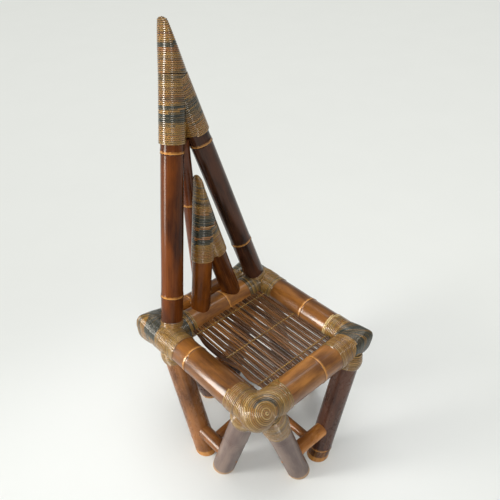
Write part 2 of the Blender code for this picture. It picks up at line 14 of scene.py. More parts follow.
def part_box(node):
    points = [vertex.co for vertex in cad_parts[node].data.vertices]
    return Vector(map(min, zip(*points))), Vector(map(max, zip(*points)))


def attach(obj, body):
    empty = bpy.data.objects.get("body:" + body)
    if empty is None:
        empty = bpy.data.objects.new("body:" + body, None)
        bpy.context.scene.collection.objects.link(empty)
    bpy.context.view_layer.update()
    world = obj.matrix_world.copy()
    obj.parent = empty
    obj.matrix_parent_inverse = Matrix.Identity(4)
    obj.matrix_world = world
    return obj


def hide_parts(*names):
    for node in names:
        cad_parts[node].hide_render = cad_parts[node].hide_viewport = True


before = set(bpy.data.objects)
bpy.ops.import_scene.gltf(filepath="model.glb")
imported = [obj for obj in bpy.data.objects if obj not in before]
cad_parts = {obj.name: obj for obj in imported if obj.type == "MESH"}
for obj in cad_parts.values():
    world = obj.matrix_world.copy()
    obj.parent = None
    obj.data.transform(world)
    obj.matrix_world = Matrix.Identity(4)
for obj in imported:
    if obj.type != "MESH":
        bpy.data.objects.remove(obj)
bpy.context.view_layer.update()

bl_info = {
    "name": "Bamboo chair finish",
    "version": (1, 0, 0),
    "blender": (4, 5, 0),
    "location": "View3D > Sidebar > Bamboo chair",
    "description": "Models the culms, slats and cane bindings of a spired bamboo chair",
    "category": "Object",
}

BODY = "root"
HANDS = {"left": -1.0, "right": 1.0}
ENDS = {"front": -1.0, "rear": 1.0}
SIDES = [*HANDS, *ENDS]
LEGS = [(side, corner) for side in SIDES for corner in (ENDS if side in HANDS else HANDS)]
UP = Vector((0, 0, 1))
SEAT_MIDDLE = Vector((0.0, sum(corner.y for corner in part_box("seat_mat")) / 2, 0.0))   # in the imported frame


def length(description, default):
    """A size in metres."""
    return FloatProperty(description=description, default=default, unit="LENGTH", precision=4)


def lean(description, degrees):
    """An angle, given in degrees."""
    return FloatProperty(description=description, default=math.radians(degrees), subtype="ANGLE")


def tint(description, *display):
    """A colour written as 0-255 display values."""
    shares = [level / 255 for level in display]
    values = [share / 12.92 if share <= 0.04045 else ((share + 0.055) / 1.055) ** 2.4 for share in shares]
    return FloatVectorProperty(description=description, default=values, subtype="COLOR", size=3, min=0, max=1)


class BAMBOO_PG_sizes(bpy.types.PropertyGroup):
    """Sizes of the chair."""
    seat_width: length("Between the axes of the side rails", 0.400)
    seat_depth: length("Between the axes of the front and rear rails", 0.410)
    rail_height: length("Floor to the rail axes", 0.394)
    rail_radius: length("Radius of the four seat rails", 0.0435)
    prop_rail_radius: length("Radius of the second rear rail, which carries the prop", 0.032)
    prop_rail_back: length("Seat middle to the axis of the second rear rail", 0.2808)
    leg_radius: length("Radius of the eight legs", 0.035)
    leg_inset: length("Corner to leg axis along the rail, at rail height", 0.027)
    foot_spread: length("Between the axes of a V at the floor", 0.090)
    right_setback: length("The right V stands this much nearer the rear", 0.050)
    side_outset: length("Side legs stand this far outside the rail axes", 0.008)
    end_outset: length("Front and rear legs stand this far outside the rail axes", 0.017)
    culm_wall: length("Wall of a cut culm", 0.008)
    foot_bore: length("Depth of the open culm at a foot", 0.045)
    stretcher_radius: length("Radius of the four stretchers", 0.0225)
    stretcher_height: length("Floor to the side stretchers", 0.086)
    end_stretcher_height: length("Floor to the front and rear stretchers", 0.1147)
    cross_radius: length("Radius of the two cross poles", 0.0142)
    peg_radius: length("Radius of the pegs", 0.0035)
    post_radius: length("Radius of the tall posts", 0.0335)
    post_spread: length("Between the tall post axes at rail height", 0.366)
    peak_height: length("Where the tall post axes meet", 1.148)
    peak_lean: lean("Backward lean of the tall posts", 9.0)
    small_radius: length("Radius of the small posts", 0.031)
    small_spread: length("Between the small post axes at rail height", 0.142)
    small_height: length("Where the small post axes meet", 0.712)
    small_lean: lean("Backward lean of the small posts", 6.0)
    prop_radius: length("Radius of the prop pole", 0.0205)
    prop_setback: length("Prop axis behind the axis of its rail", 0.013)
    slats: IntProperty(description="Number of slats in the seat", default=28, min=2)
    slat_thick: length("Thickness of a slat", 0.0040)
    slat_crown: length("Rise of a slat's rounded top", 0.0020)
    mat_left: length("Left edge of the slats from the seat middle", -0.135)
    mat_right: length("Right edge of the slats from the seat middle", 0.150)
    mat_half: length("Slats run this far to the front and to the rear", 0.174)
    mat_rise: length("Middle of the slats above the rail axes", 0.006)
    tie_pitch: length("Between the rows of tie cane", 0.139)
    peak_pad: length("Packing under the cane of the peaks", 0.0030)
    node_rise: length("Height of the ridge at a node", 0.0017)
    cane_pitch: length("From one turn of cane to the next", 0.0055)
    cane_high: length("Height of the half-round cane", 0.0021)


STOCKS = {   # bamboo: what it is for, its darker and its lighter colour
    "rail": ("Side rails and second rear rail", (74, 42, 14), (132, 84, 33)),
    "pale": ("Front and rear rails", (94, 58, 30), (160, 108, 52)),
    "post": ("Left tall post", (52, 24, 10), (98, 50, 16)),
    "dusk": ("Right tall post", (30, 18, 14), (74, 44, 30)),
    "small": ("Small posts", (64, 32, 12), (118, 65, 20)),
    "prop": ("Prop", (70, 34, 17), (104, 58, 32)),
    "leg": ("Dark legs", (50, 30, 25), (88, 58, 46)),
    # The two front legs: their greyish colours are painted reflection of the pale floor over the legs' own
    # brown.
    "floor_sheen": ("Greyish front legs", (84, 62, 56), (122, 102, 92)),
    "warm": ("Warm leg", (84, 50, 25), (146, 96, 52)),
    "brace": ("Stretchers and cross poles", (88, 52, 24), (150, 98, 52)),
    # The front stretcher: the other stretchers' colours made lighter, which is painted light.
    "front": ("Front stretcher", (126, 76, 30), (198, 136, 70)),
    "peg": ("Pegs", (150, 98, 52), (170, 118, 66)),
    "slat": ("Slats", (38, 20, 11), (114, 74, 36)),
}


class BAMBOO_PG_colours(bpy.types.PropertyGroup):
    """Colours of the marks on the bamboo, of the cane and of the floor, and two for each stock."""
    # Colour of the painted highlight along one edge of each slat.
    slat_highlight: tint("Split edge of a slat", 214, 190, 150)
    ring: tint("Pale band beside a node", 196, 140, 72)
    scar: tint("Dark line at a node", 40, 20, 10)
    cut: tint("Bare wood of a cut culm", 188, 150, 104)
    cane_pale: tint("Straw colour of fresh cane", 200, 174, 122)
    cane_tan: tint("Common colour of the cane", 136, 104, 48)
    cane_rust: tint("Warm turns of the cane", 124, 72, 29)
    # Also the colour of the painted shade in the grooves between the turns.
    cane_dark: tint("Dyed turns of the cane", 38, 42, 36)
    floor: tint("Studio floor in the distance", 240, 242, 236)
    floor_near: tint("Studio floor under the lamps", 228, 234, 238)


for stock, (use, deep, light) in STOCKS.items():
    BAMBOO_PG_colours.__annotations__[stock + "_deep"] = tint(use + ", darker", *deep)
    BAMBOO_PG_colours.__annotations__[stock + "_light"] = tint(use + ", lighter", *light)


class BAMBOO_PG_chair(bpy.types.PropertyGroup):
    """Sizes and colours of one chair."""
    sizes: PointerProperty(type=BAMBOO_PG_sizes)
    colours: PointerProperty(type=BAMBOO_PG_colours)


def sizes():
    return bpy.context.scene.bamboo_chair.sizes


def colours():
    return bpy.context.scene.bamboo_chair.colours


def clamp(value):
    return min(1.0, max(0.0, value))


def assign(item, **settings):
    for key, value in settings.items():
        setattr(item, key, value)
    return item


# shader groups and materials

class Graph:
    """Short ways to add nodes to a tree. An input is a value or a socket."""

    def __init__(self, tree):
        self.tree = tree

    def join(self, value, socket):
        if isinstance(value, bpy.types.NodeSocket):
            self.tree.links.new(value, socket)
        else:
            socket.default_value = value

    def add(self, kind, inputs=None, **settings):
        made = assign(self.tree.nodes.new("ShaderNode" + kind), **settings)
        for key, value in (inputs or {}).items():
            self.join(value, made.inputs[key])
        return made

    def calc(self, operation, first, second=0.0, clamped=False):
        return self.add("Math", {0: first, 1: second}, operation=operation, use_clamp=clamped).outputs[0]

    def plus(self, first, second, clamped=False):
        return self.calc("ADD", first, second, clamped)

    def times(self, first, second):
        return self.calc("MULTIPLY", first, second)

    def swing(self, value, share):
        """A noise brought about zero, by a share."""
        return self.times(self.calc("SUBTRACT", value, 0.5), share)

    def ramp(self, value, low, high, to_low=0.0, to_high=1.0):
        inputs = {"Value": value, "From Min": low, "From Max": high, "To Min": to_low, "To Max": to_high}
        return self.add("MapRange", inputs, interpolation_type="SMOOTHSTEP").outputs[0]

    def noise(self, vector, scale, detail=3.0, rough=0.55):
        placed = self.add("Mapping", {"Vector": vector, "Scale": scale}).outputs[0]
        inputs = {"Vector": placed, "Scale": 1.0, "Detail": detail, "Roughness": rough}
        return self.add("TexNoise", inputs).outputs["Fac"]

    def mix(self, share, first, second):
        return self.add("Mix", {0: share, 6: first, 7: second}, data_type="RGBA").outputs[2]

    def layer(self, colour, *layers):
        """A colour with others over it, each by a mask and a share."""
        for mask, share, over in layers:
            colour = self.mix(self.times(mask, share), colour, over)
        return colour


def new_group(name, sockets):
    """An empty skin group: its graph, its inputs by name, and the sockets of its three outputs."""
    tree = bpy.data.node_groups.new(name, "ShaderNodeTree")
    for kind, labels in sockets.items():
        for label in labels:
            tree.interface.new_socket(label, in_out="INPUT", socket_type="NodeSocket" + kind)
    for label, kind in (("Colour", "Color"), ("Roughness", "Float"), ("Height", "Float")):
        tree.interface.new_socket(label, in_out="OUTPUT", socket_type="NodeSocket" + kind)
    return Graph(tree), tree.nodes.new("NodeGroupInput").outputs, tree.nodes.new("NodeGroupOutput").inputs


def culm_group():
    """Bamboo skin: fibre streaks, patches of lacquer, rings at the nodes, bare cut ends."""
    if "Culm skin" in bpy.data.node_groups:
        return bpy.data.node_groups["Culm skin"]
    graph, given, put = new_group("Culm skin", {
        "Vector": ["Stalk"], "Float": ["Ring Mask", "Scar Mask", "Bare", "Streak", "Shine"],
        "Color": ["Deep", "Light", "Ring", "Scar", "Cut"]})
    stalk = given["Stalk"]
    fibre = graph.noise(stalk, (420, 420, 7), 4)
    thread = graph.noise(stalk, (900, 900, 4), 2)
    patch = graph.noise(stalk, (22, 22, 6), 4)
    stain = graph.noise(stalk, (60, 60, 30), 5, 0.65)
    speck = graph.noise(stalk, (240, 240, 90), 2)
    fray = graph.noise(stalk, (90, 90, 12))
    pores = graph.noise(stalk, (700, 700, 700), 2)
    share = graph.plus(graph.swing(fibre, given["Streak"]), graph.ramp(patch, 0.32, 0.68))
    share = graph.plus(share, graph.swing(stain, 0.5), clamped=True)
    band = graph.ramp(graph.plus(given["Ring Mask"], graph.swing(fray, 0.9)), 0.25, 0.85)
    band = graph.times(band, graph.ramp(given["Ring Mask"], 0.02, 0.35))
    colour = graph.layer(
        graph.mix(share, given["Deep"], given["Light"]),
        (graph.ramp(thread, 0.62, 0.72), 0.16, given["Ring"]),
        (graph.ramp(speck, 0.68, 0.76), 0.5, given["Scar"]),
        (band, 0.80, given["Ring"]),
        (given["Scar Mask"], 0.7, given["Scar"]))
    bare = graph.mix(graph.ramp(pores, 0.45, 0.7), given["Cut"], given["Deep"])
    graph.join(graph.mix(given["Bare"], colour, bare), put["Colour"])
    rough = graph.plus(given["Shine"], graph.times(stain, 0.16))
    graph.join(graph.plus(rough, graph.times(given["Bare"], 0.4)), put["Roughness"])
    graph.join(graph.plus(graph.times(fibre, 0.6), graph.times(stain, 0.4)), put["Height"])
    return graph.tree


def cane_group():
    """Split cane: each turn's own tone, fibre along the strand, and painted shade in the grooves between the
    turns, darkening each turn towards its edges.
    """
    graph, given, put = new_group("Cane skin", {
        "Vector": ["Strand"], "Float": ["Tone", "Warmth"], "Color": ["Pale", "Tan", "Rust", "Dark"]})
    strand, tone = given["Strand"], given["Tone"]
    fibre = graph.noise(strand, (9, 1400, 60))
    patch = graph.noise(strand, (16, 40, 9))
    aside = graph.calc("ABSOLUTE", graph.add("SeparateXYZ", {"Vector": strand}).outputs["Y"])
    colour = graph.layer(
        graph.mix(given["Warmth"], given["Tan"], given["Rust"]),
        (graph.ramp(tone, 0.30, 0.0), 0.8, given["Pale"]),
        (graph.ramp(graph.plus(tone, graph.swing(patch, 0.5)), 0.40, 0.85), 1.0, given["Dark"]),
        (graph.ramp(fibre, 0.55, 0.75), 0.35, given["Pale"]),
        (graph.ramp(fibre, 0.45, 0.25), 0.45, given["Dark"]),
        # Painted shade: each turn darkens towards both edges, in the grooves between the turns.
        (graph.ramp(aside, 0.0015, 0.0029), 0.72, given["Dark"]))
    graph.join(colour, put["Colour"])
    graph.join(graph.plus(0.16, graph.times(patch, 0.22)), put["Roughness"])
    graph.join(fibre, put["Height"])
    return graph.tree


def new_material(name, shown):
    """A material with the colour shown for it in the viewport: itself, its graph and its shader."""
    made = bpy.data.materials.new(name)
    made.use_nodes = True
    made.diffuse_color = (*shown, 1.0)
    return made, Graph(made.node_tree), made.node_tree.nodes["Principled BSDF"]


def skin_material(name, group, shown, hues, values, marks, bump, depth, coat, gloss, polish):
    """A material over a skin group, with the group's colours, its values and the attributes that it reads."""
    made, graph, shader = new_material(name, hues[shown])
    skin = graph.add("Group", node_tree=group)
    for label, hue in hues.items():
        skin.inputs[label].default_value = (*hue, 1.0)
    for label, value in values.items():
        skin.inputs[label].default_value = value
    for label, mark in marks.items():
        output = "Vector" if mark in VECTOR_MARKS else "Fac"
        graph.join(graph.add("Attribute", attribute_name=mark).outputs[output], skin.inputs[label])
    raised = graph.add("Bump", {"Strength": bump, "Distance": depth, "Height": skin.outputs["Height"]})
    for label, value in (("Base Color", skin.outputs["Colour"]), ("Roughness", skin.outputs["Roughness"]),
                         ("Normal", raised.outputs[0]), ("Specular IOR Level", gloss), ("Coat Weight", coat),
                         ("Coat Roughness", polish)):
        graph.join(value, shader.inputs[label])
    return made


def culm_material(name, stock, streak=0.8, shine=0.20, coat=0.12, gloss=0.30, ring="ring"):
    """Bamboo in the two colours of a stock."""
    keys = {"Deep": stock + "_deep", "Light": stock + "_light", "Ring": ring, "Scar": "scar", "Cut": "cut"}
    return bpy.data.materials.get(name) or skin_material(
        name, culm_group(), "Light", {label: getattr(colours(), key) for label, key in keys.items()},
        {"Streak": streak, "Shine": shine},
        {"Stalk": "stalk", "Ring Mask": "ring", "Scar Mask": "scar", "Bare": "bare"},
        bump=0.25, depth=0.0006, coat=coat, gloss=gloss, polish=0.11)


def cane_material():
    """The cane of every binding."""
    hues = {label: getattr(colours(), "cane_" + label.lower()) for label in ("Pale", "Tan", "Rust", "Dark")}
    return bpy.data.materials.get("split_cane") or skin_material(
        "split_cane", cane_group(), "Tan", hues, {}, {"Strand": "strand", "Tone": "tone", "Warmth": "warmth"},
        bump=0.3, depth=0.0005, coat=0.95, gloss=0.25, polish=0.07)


# steps of modelling

VECTOR_MARKS = ("stalk", "strand")   # attributes that hold a place along a culm or a strand
SMOOTH_ANGLE = math.radians(48)


def begin(name, primitive, **settings):
    """A named primitive to model from, with nothing else selected."""
    bpy.ops.object.select_all(action="DESELECT")
    primitive(**settings)
    piece = bpy.context.active_object
    piece.name = name
    return piece


def apply_place(piece):
    """Select one piece alone and put its place, turn and scale into its mesh."""
    bpy.ops.object.select_all(action="DESELECT")
    bpy.context.view_layer.objects.active = piece
    piece.select_set(True)
    bpy.ops.object.transform_apply(location=True, rotation=True, scale=True)


@contextmanager
def editing():
    """Edit mode on the active piece, with all of it selected."""
    bpy.ops.object.mode_set(mode="EDIT")
    bpy.ops.mesh.select_all(action="SELECT")
    yield
    bpy.ops.object.mode_set(mode="OBJECT")


def bisect(cuts, **options):
    """Cut the active piece at each point and normal."""
    with editing():
        for place, away in cuts:
            bpy.ops.mesh.select_all(action="SELECT")
            bpy.ops.mesh.bisect(plane_co=place, plane_no=away, **options)


def spin_profile(name, profile, steps):
    """Draw a lathe line point by point and spin it once round Z."""
    piece = begin(name, bpy.ops.mesh.primitive_plane_add, size=0.01)
    with editing():
        bpy.ops.mesh.merge(type="CENTER")
        bpy.ops.transform.translate(value=(profile[0][0], 0, profile[0][1]))
        for (radius, height), (wider, higher) in zip(profile, profile[1:]):
            step = (wider - radius, 0, higher - height)
            bpy.ops.mesh.extrude_region_move(TRANSFORM_OT_translate={"value": step})
        bpy.ops.mesh.select_all(action="SELECT")
        bpy.ops.mesh.spin(steps=steps, angle=math.tau, center=(0, 0, 0), axis=(0, 0, 1))
        bpy.ops.mesh.select_all(action="SELECT")
        bpy.ops.mesh.remove_doubles(threshold=1e-6)
        bpy.ops.mesh.normals_make_consistent(inside=False)
    return piece


def set_values(piece, **marks):
    """Point attributes filled from flat lists."""
    for name, values in marks.items():
        vector = name in VECTOR_MARKS
        made = piece.data.attributes.new(name, "FLOAT_VECTOR" if vector else "FLOAT", "POINT")
        made.data.foreach_set("vector" if vector else "value", values)


def settle(piece, material, nodes):
    """Last steps for every piece: place applied, shading, material, body and replaced nodes."""
    apply_place(piece)
    bpy.ops.object.shade_smooth_by_angle(angle=SMOOTH_ANGLE)
    piece.data.materials.clear()
    piece.data.materials.append(material)
    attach(piece, BODY)
    if nodes:
        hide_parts(*nodes)


# culms

CULM_STEPS = 48   # points round a culm
PEG_STEPS = 20
OUT_OF_TRUE = 0.018   # swell of a culm, as a share of its radius
EASE = 0.001   # rounded edge of a cut end
SCAR_GAP = 0.0016   # the sheath scar lies this far before its node
PALE_RINGS = ((0.0018, 0.0032, 1.0), (0.0062, 0.0030, 0.55))   # past a node: middle, half width, strength
NODE_STEPS = (-14, -6, -4, -3, -2.2, -1.6, -1, -0.3, 0.6, 2, 4, 6, 9, 14)   # lathe points at a node, in mm
NODE_CLEAR = 0.016   # no other lathe point so near a node
RIM_STEPS = (0.0155, 0.0190)   # lathe points at the upper edge of a worn foot
RIM_HEIGHT = 0.016
RAIL_NODES = {"left": 0.510, "right": 0.358, "front": 0.57, "rear": 0.555, "prop": 0.389}   # in shares
LEG_NODES = {"front": 0.60, "rear": 0.16, "left": 0.68, "right": 0.10}   # by the corner that the leg reaches
PLAIN_LEGS = (("left", "front"), ("left", "rear"), ("front", "left"))   # with hardly a ring
CROSS_NODES = {"widthwise": 0.30, "lengthwise": 0.62}
POST_NODES = {"tall_left": (0.136, 0.5915), "tall_right": (0.198, 0.588), "small_left": (0.16,),
              "small_right": (0.11,)}
PROP_NODE = 0.622
PROP_TOP = (0.190, 0.0178)   # head of the prop: below the tall peak, and behind it


def axes_of(direction):
    """Rotation whose Z runs along a direction."""
    rise = direction.normalized()
    aside = UP.cross(rise)
    if aside.length < 1e-4:
        aside = Vector((1, 0, 0))
    aside.normalize()
    return Matrix((aside, rise.cross(aside), rise)).transposed()


class Culm:
    """A straight culm from one point to another in the seat's own coordinates, with nodes at shares of it."""

    def __init__(self, start, end, radius, nodes=(), foot=False, domed=False, ringed=1.0):
        self.start = Vector(start) + SEAT_MIDDLE
        self.end = Vector(end) + SEAT_MIDDLE
        run = self.end - self.start
        self.length = run.length
        self.direction = run / self.length
        self.axes = axes_of(self.direction)
        self.nodes = [share * self.length for share in nodes]
        self.radius, self.foot, self.domed, self.ringed = radius, foot, domed, ringed

    def at(self, distance):
        return self.start + self.direction * distance

    def skin(self, angle, distance):
        core = self.at(distance)
        return core + self.axes @ (Vector((math.cos(angle), math.sin(angle), 0)) * self.radius), core

    def ridge(self, distance):
        """Rise of the skin near a node: a sharp sheath scar and a softer swelling past it."""
        rise = 0.0
        for node in self.nodes:
            gap = distance - node
            scar = math.exp(-((gap + SCAR_GAP) / 0.0011) ** 2)
            rise = max(rise, scar, 0.62 * math.exp(-((gap - 0.005) / 0.0045) ** 2))
        return rise * sizes().node_rise * (0.4 + 0.6 * self.ringed)

    def marks(self, distance):
        """Strength of the pale ring and of the dark scar at a distance."""
        ring = scar = 0.0
        for node in self.nodes:
            gap = distance - node
            for middle, half, level in PALE_RINGS:
                ring = max(ring, level * clamp(1.6 - 1.6 * abs(gap - middle) / half))
            scar = max(scar, 1.0 - min(1.0, abs(gap + SCAR_GAP) / 0.0014))
            if self.foot and gap < 0 and node < 0.2 * self.length:
                ring = max(ring, 0.5)
        rim = 0.75 if self.foot and distance < RIM_HEIGHT else 0.0
        return max(ring * self.ringed, rim), scar * self.ringed

    def profile(self):
        """Radius and height of the lathe line from one end to the other."""
        radius = self.radius
        if self.foot:
            inner, bore = radius - sizes().culm_wall, sizes().foot_bore
            line = [(0.0, bore), (inner * 0.8, bore), (inner, bore - 0.004), (inner, 0.004),
                    (inner + 0.0008, 0.0), (radius - 0.0012, 0.0), (radius, 0.0014)]
            begin_at = 0.004
        elif self.domed:
            bends = [math.radians(step) for step in range(0, 90, 10)]
            line = [(radius * math.sin(bend), -radius * math.cos(bend)) for bend in bends]
            begin_at = 0.0
        else:
            line = [(0.0, 0.0), (radius - EASE, 0.0)]
            begin_at = EASE
        marks = {begin_at + (self.length - EASE - begin_at) * step / 14 for step in range(15)}
        for node in self.nodes:
            marks = {mark for mark in marks if abs(mark - node) > NODE_CLEAR}
            marks |= {node + step / 1000 for step in NODE_STEPS}
        if self.foot:
            marks |= set(RIM_STEPS)
        line += [(radius + self.ridge(mark), mark) for mark in sorted(marks)]
        return line + [(radius - EASE, self.length), (0.0, self.length)]


def make_culm(node, culm, material, seed, cuts=(), name=None):
    """One culm: spun, worked slightly out of true, levelled at the foot, set in place."""
    piece = spin_profile(name or "culm_" + node, culm.profile(), CULM_STEPS)
    offset = Vector((seed * 3.7, seed * 1.3, seed * 0.7))
    inner = culm.radius - sizes().culm_wall * 0.5
    level = culm.axes.transposed() @ UP
    stalk, rings, scars, bare = [], [], [], []
    for vertex in piece.data.vertices:
        point = vertex.co.copy()
        flat = Vector((point.x, point.y, 0))
        ring, scar = culm.marks(point.z)
        open_end = (point.z < 0.0005 or flat.length < inner) and point.z < sizes().foot_bore + EASE
        stalk += [point.x, point.y, point.z + seed]
        rings.append(ring)
        scars.append(scar)
        bare.append(1.0 if culm.foot and open_end else 0.0)
        if flat.length > 1e-6:
            out = flat.normalized()
            where = Vector((out.x * 0.5, out.y * 0.5, point.z * 6)) + offset
            flat += out * (noise.noise(where) * OUT_OF_TRUE * culm.radius)
        rise = point.z
        if culm.foot:
            share = max(0.0, 1.0 - max(point.z, 0.0) / (3 * culm.radius))
            rise -= share * (flat.x * level.x + flat.y * level.y) / level.z
        vertex.co = Vector((flat.x, flat.y, rise))
    set_values(piece, stalk=stalk, ring=rings, scar=scars, bare=bare)
    piece.matrix_world = Matrix.Translation(culm.start) @ culm.axes.to_4x4()
    if cuts:
        apply_place(piece)
        bisect(cuts, use_fill=True, clear_outer=True)
    settle(piece, material, [node])


class Spire:
    """Two posts that lean together into one point, under a winding that ends in a rounded tip."""

    def __init__(self, spread, height, back, radius, cap, nose):
        """The winding keeps the width of its cap where it rounds over, and rises by its nose from there."""
        size = sizes()
        self.radius = radius
        self.rise = (height - size.rail_height) / math.cos(back)
        self.slope = math.atan2(spread / 2, self.rise)
        self.up = Vector((0, math.sin(back), math.cos(back)))
        self.out = Vector((0, math.cos(back), -math.sin(back)))
        self.meet = Vector((0, size.seat_depth / 2, size.rail_height)) + self.up * self.rise + SEAT_MIDDLE
        self.tip = radius / math.sin(self.slope)
        self.full = radius + size.peak_pad
        self.top = (self.full - cap) / math.sin(self.slope)   # here the winding rounds over into its tip
        self.nose = nose

    def post(self, side):
        foot = self.meet - self.up * self.rise + Vector((side, 0, 0)) * self.rise * math.tan(self.slope)
        stop = self.meet + (self.meet - foot).normalized() * self.tip * 0.82
        return Culm(foot - SEAT_MIDDLE, stop - SEAT_MIDDLE, self.radius)

    def section(self, height):
        """Half width across the chair and half depth of the bound posts above the place where they meet."""
        shift = max(height, 0.0) * math.sin(self.slope)
        return self.full - shift, math.sqrt(max(self.full ** 2 - shift ** 2, 0.0))

    def skin(self, angle, height):
        """Outline of the bound posts, closing in a rounded tip."""
        shrink = 1.0
        level = height
        if height > self.top:
            bend = min((height - self.top) / self.nose, math.pi / 2)
            shrink = max(math.cos(bend), 0.02)
            level = self.top + self.nose * math.sin(bend)
        aside = 0.0
        for _ in range(3):
            lower = level - aside * math.tan(self.slope)
            wide, deep = self.section(min(lower, self.top))
            aside = wide * math.cos(angle) * shrink / math.cos(self.slope)
        place = self.meet + self.up * lower + Vector((aside, 0, 0))
        return place + self.out * (math.sin(angle) * deep * shrink), self.meet + self.up * level


def spire_of(kind):
    """The spire of the tall or of the small posts."""
    size = sizes()
    if kind == "tall":
        return Spire(size.post_spread, size.peak_height, size.peak_lean, size.post_radius,
                     cap=0.006, nose=0.008)
    return Spire(size.small_spread, size.small_height, size.small_lean, size.small_radius,
                 cap=0.009, nose=0.036)


def rail_of(name):
    """A side rail, or one of the three that run across."""
    size = sizes()
    high, half = size.rail_height, size.seat_depth / 2
    if name in HANDS:
        x = HANDS[name] * size.seat_width / 2
        start, end = (x, -half, high), (x, size.prop_rail_back + size.rail_radius, high)
        return Culm(start, end, size.rail_radius, (RAIL_NODES[name],), domed=True)
    y, radius, reach = ENDS.get(name, 0.0) * half, size.rail_radius, size.seat_width / 2
    if name == "prop":
        y, radius, reach = size.prop_rail_back, size.prop_rail_radius, reach + 2 * size.rail_radius
    return Culm((-reach, y, high), (reach, y, high), radius, (RAIL_NODES[name],))


def corner_points(hand, end):
    """Inner and outer point of a corner, where a side rail meets the front rail or the second rear rail."""
    size = sizes()
    middle, radius = -size.seat_depth / 2, size.rail_radius
    if end == "rear":
        middle, radius = size.prop_rail_back, size.prop_rail_radius
    return [Vector((HANDS[hand] * (size.seat_width / 2 + way * size.rail_radius),
                    middle + way * ENDS[end] * radius, size.rail_height)) + SEAT_MIDDLE for way in (-1, 1)]


def mitre(hand, toward):
    """Cut on the upright plane of a rear corner: a point, and the way that falls away."""
    inner, outer = corner_points(hand, "rear")
    along = outer - inner
    return inner, Vector((-HANDS[hand] * along.y, HANDS[hand] * along.x, 0)).normalized() * toward


def leg(side, corner):
    """Leg of a V by the side that it stands on and the corner that it reaches."""
    size = sizes()
    signs = HANDS | ENDS
    out, along = (0, 1) if side in HANDS else (1, 0)   # X or Y
    halves = size.seat_width / 2, size.seat_depth / 2
    low, aim = Vector((0, 0, 0)), Vector((0, 0, size.rail_height))
    low[out] = aim[out] = signs[side] * (halves[out] + (size.side_outset, size.end_outset)[out])
    low[along] = signs[corner] * size.foot_spread / 2 + (size.right_setback if side == "right" else 0.0)
    aim[along] = signs[corner] * (halves[along] - size.leg_inset)
    top = size.rail_height - 0.4 * size.rail_radius
    return Culm(low, low.lerp(aim, top / aim.z), size.leg_radius, (LEG_NODES[corner],), foot=True,
                ringed=0.15 if (side, corner) in PLAIN_LEGS else 0.8)


def stretcher(side):
    """Bar between the two legs of a V."""
    size = sizes()
    height = size.stretcher_height if side in HANDS else size.end_stretcher_height
    poles = [leg(*pair) for pair in LEGS if pair[0] == side]
    ends = [pole.start.lerp(pole.end, height / pole.end.z) - SEAT_MIDDLE for pole in poles]
    return Culm(*ends, size.stretcher_radius)


# cane

CANE_SECTION = ((-1.0, 0.0), (-0.80, 0.76), (-0.40, 1.0), (0.40, 1.0), (0.80, 0.76), (1.0, 0.0))
TURN_POINTS = 44   # rows of a strand in one turn
ELBOW_POINTS = 60
TURN_OVERLAP = 1.06   # breadth of the cane as a share of its pitch


def lay_strand(name, path, width, height, tones, seed, nodes=()):
    """Half-round cane: a six-sided section screwed out to its full count of rows, then laid along a path."""
    piece = begin(name, bpy.ops.mesh.primitive_circle_add, vertices=len(CANE_SECTION), radius=width / 2,
                  fill_type="NOTHING", rotation=(math.pi / 2, 0, 0))
    bpy.ops.object.transform_apply(location=False, rotation=True, scale=False)
    rows = len(path)
    assign(piece.modifiers.new("turns", "SCREW"), axis="Z", angle=math.radians(90), steps=rows - 1,
           render_steps=rows - 1, screw_offset=rows * width, use_merge_vertices=False, use_smooth_shade=False)
    bpy.ops.object.modifier_apply(modifier="turns")
    if len(piece.data.vertices) != rows * len(CANE_SECTION):
        raise RuntimeError(name + " has the wrong number of rows")
    places, strand, tone, warmth = [], [], [], []
    run = 0.0
    for row, (place, normal) in enumerate(path):
        before, after = path[max(row - 1, 0)][0], path[min(row + 1, rows - 1)][0]
        tangent = (after - before).normalized()
        rise = (normal - tangent * normal.dot(tangent)).normalized()
        aside = tangent.cross(rise)
        if row:
            run += (place - before).length
        for across, up in CANE_SECTION:
            places += list(place + aside * (across * width / 2) + rise * (up * height))
            strand += [run, across * width / 2, seed]
            tone.append(tones[row][0])
            warmth.append(tones[row][1])
    piece.data.vertices.foreach_set("co", places)
    set_values(piece, strand=strand, tone=tone, warmth=warmth)
    with editing():
        bpy.ops.mesh.fill_holes(sides=len(CANE_SECTION))
        bpy.ops.mesh.select_all(action="SELECT")
        bpy.ops.mesh.normals_make_consistent(inside=False)
    settle(piece, cane_material(), nodes)


def surface_path(skin, rows, lift=0.0):
    """Places and outward normals of a skin at rows of angle and distance, raised by a lift."""
    nudge = 1e-4
    path = []
    for angle, distance in rows:
        place, core = skin(angle, distance)
        around = skin(angle + nudge, distance)[0] - skin(angle - nudge, distance)[0]
        along = skin(angle, distance + nudge)[0] - skin(angle, distance - nudge)[0]
        normal = around.cross(along)
        if normal.length < 1e-12:
            normal = place - core
        normal.normalize()
        if normal.dot(place - core) < 0:
            normal.negate()
        path.append((place + normal * lift, normal))
    return path


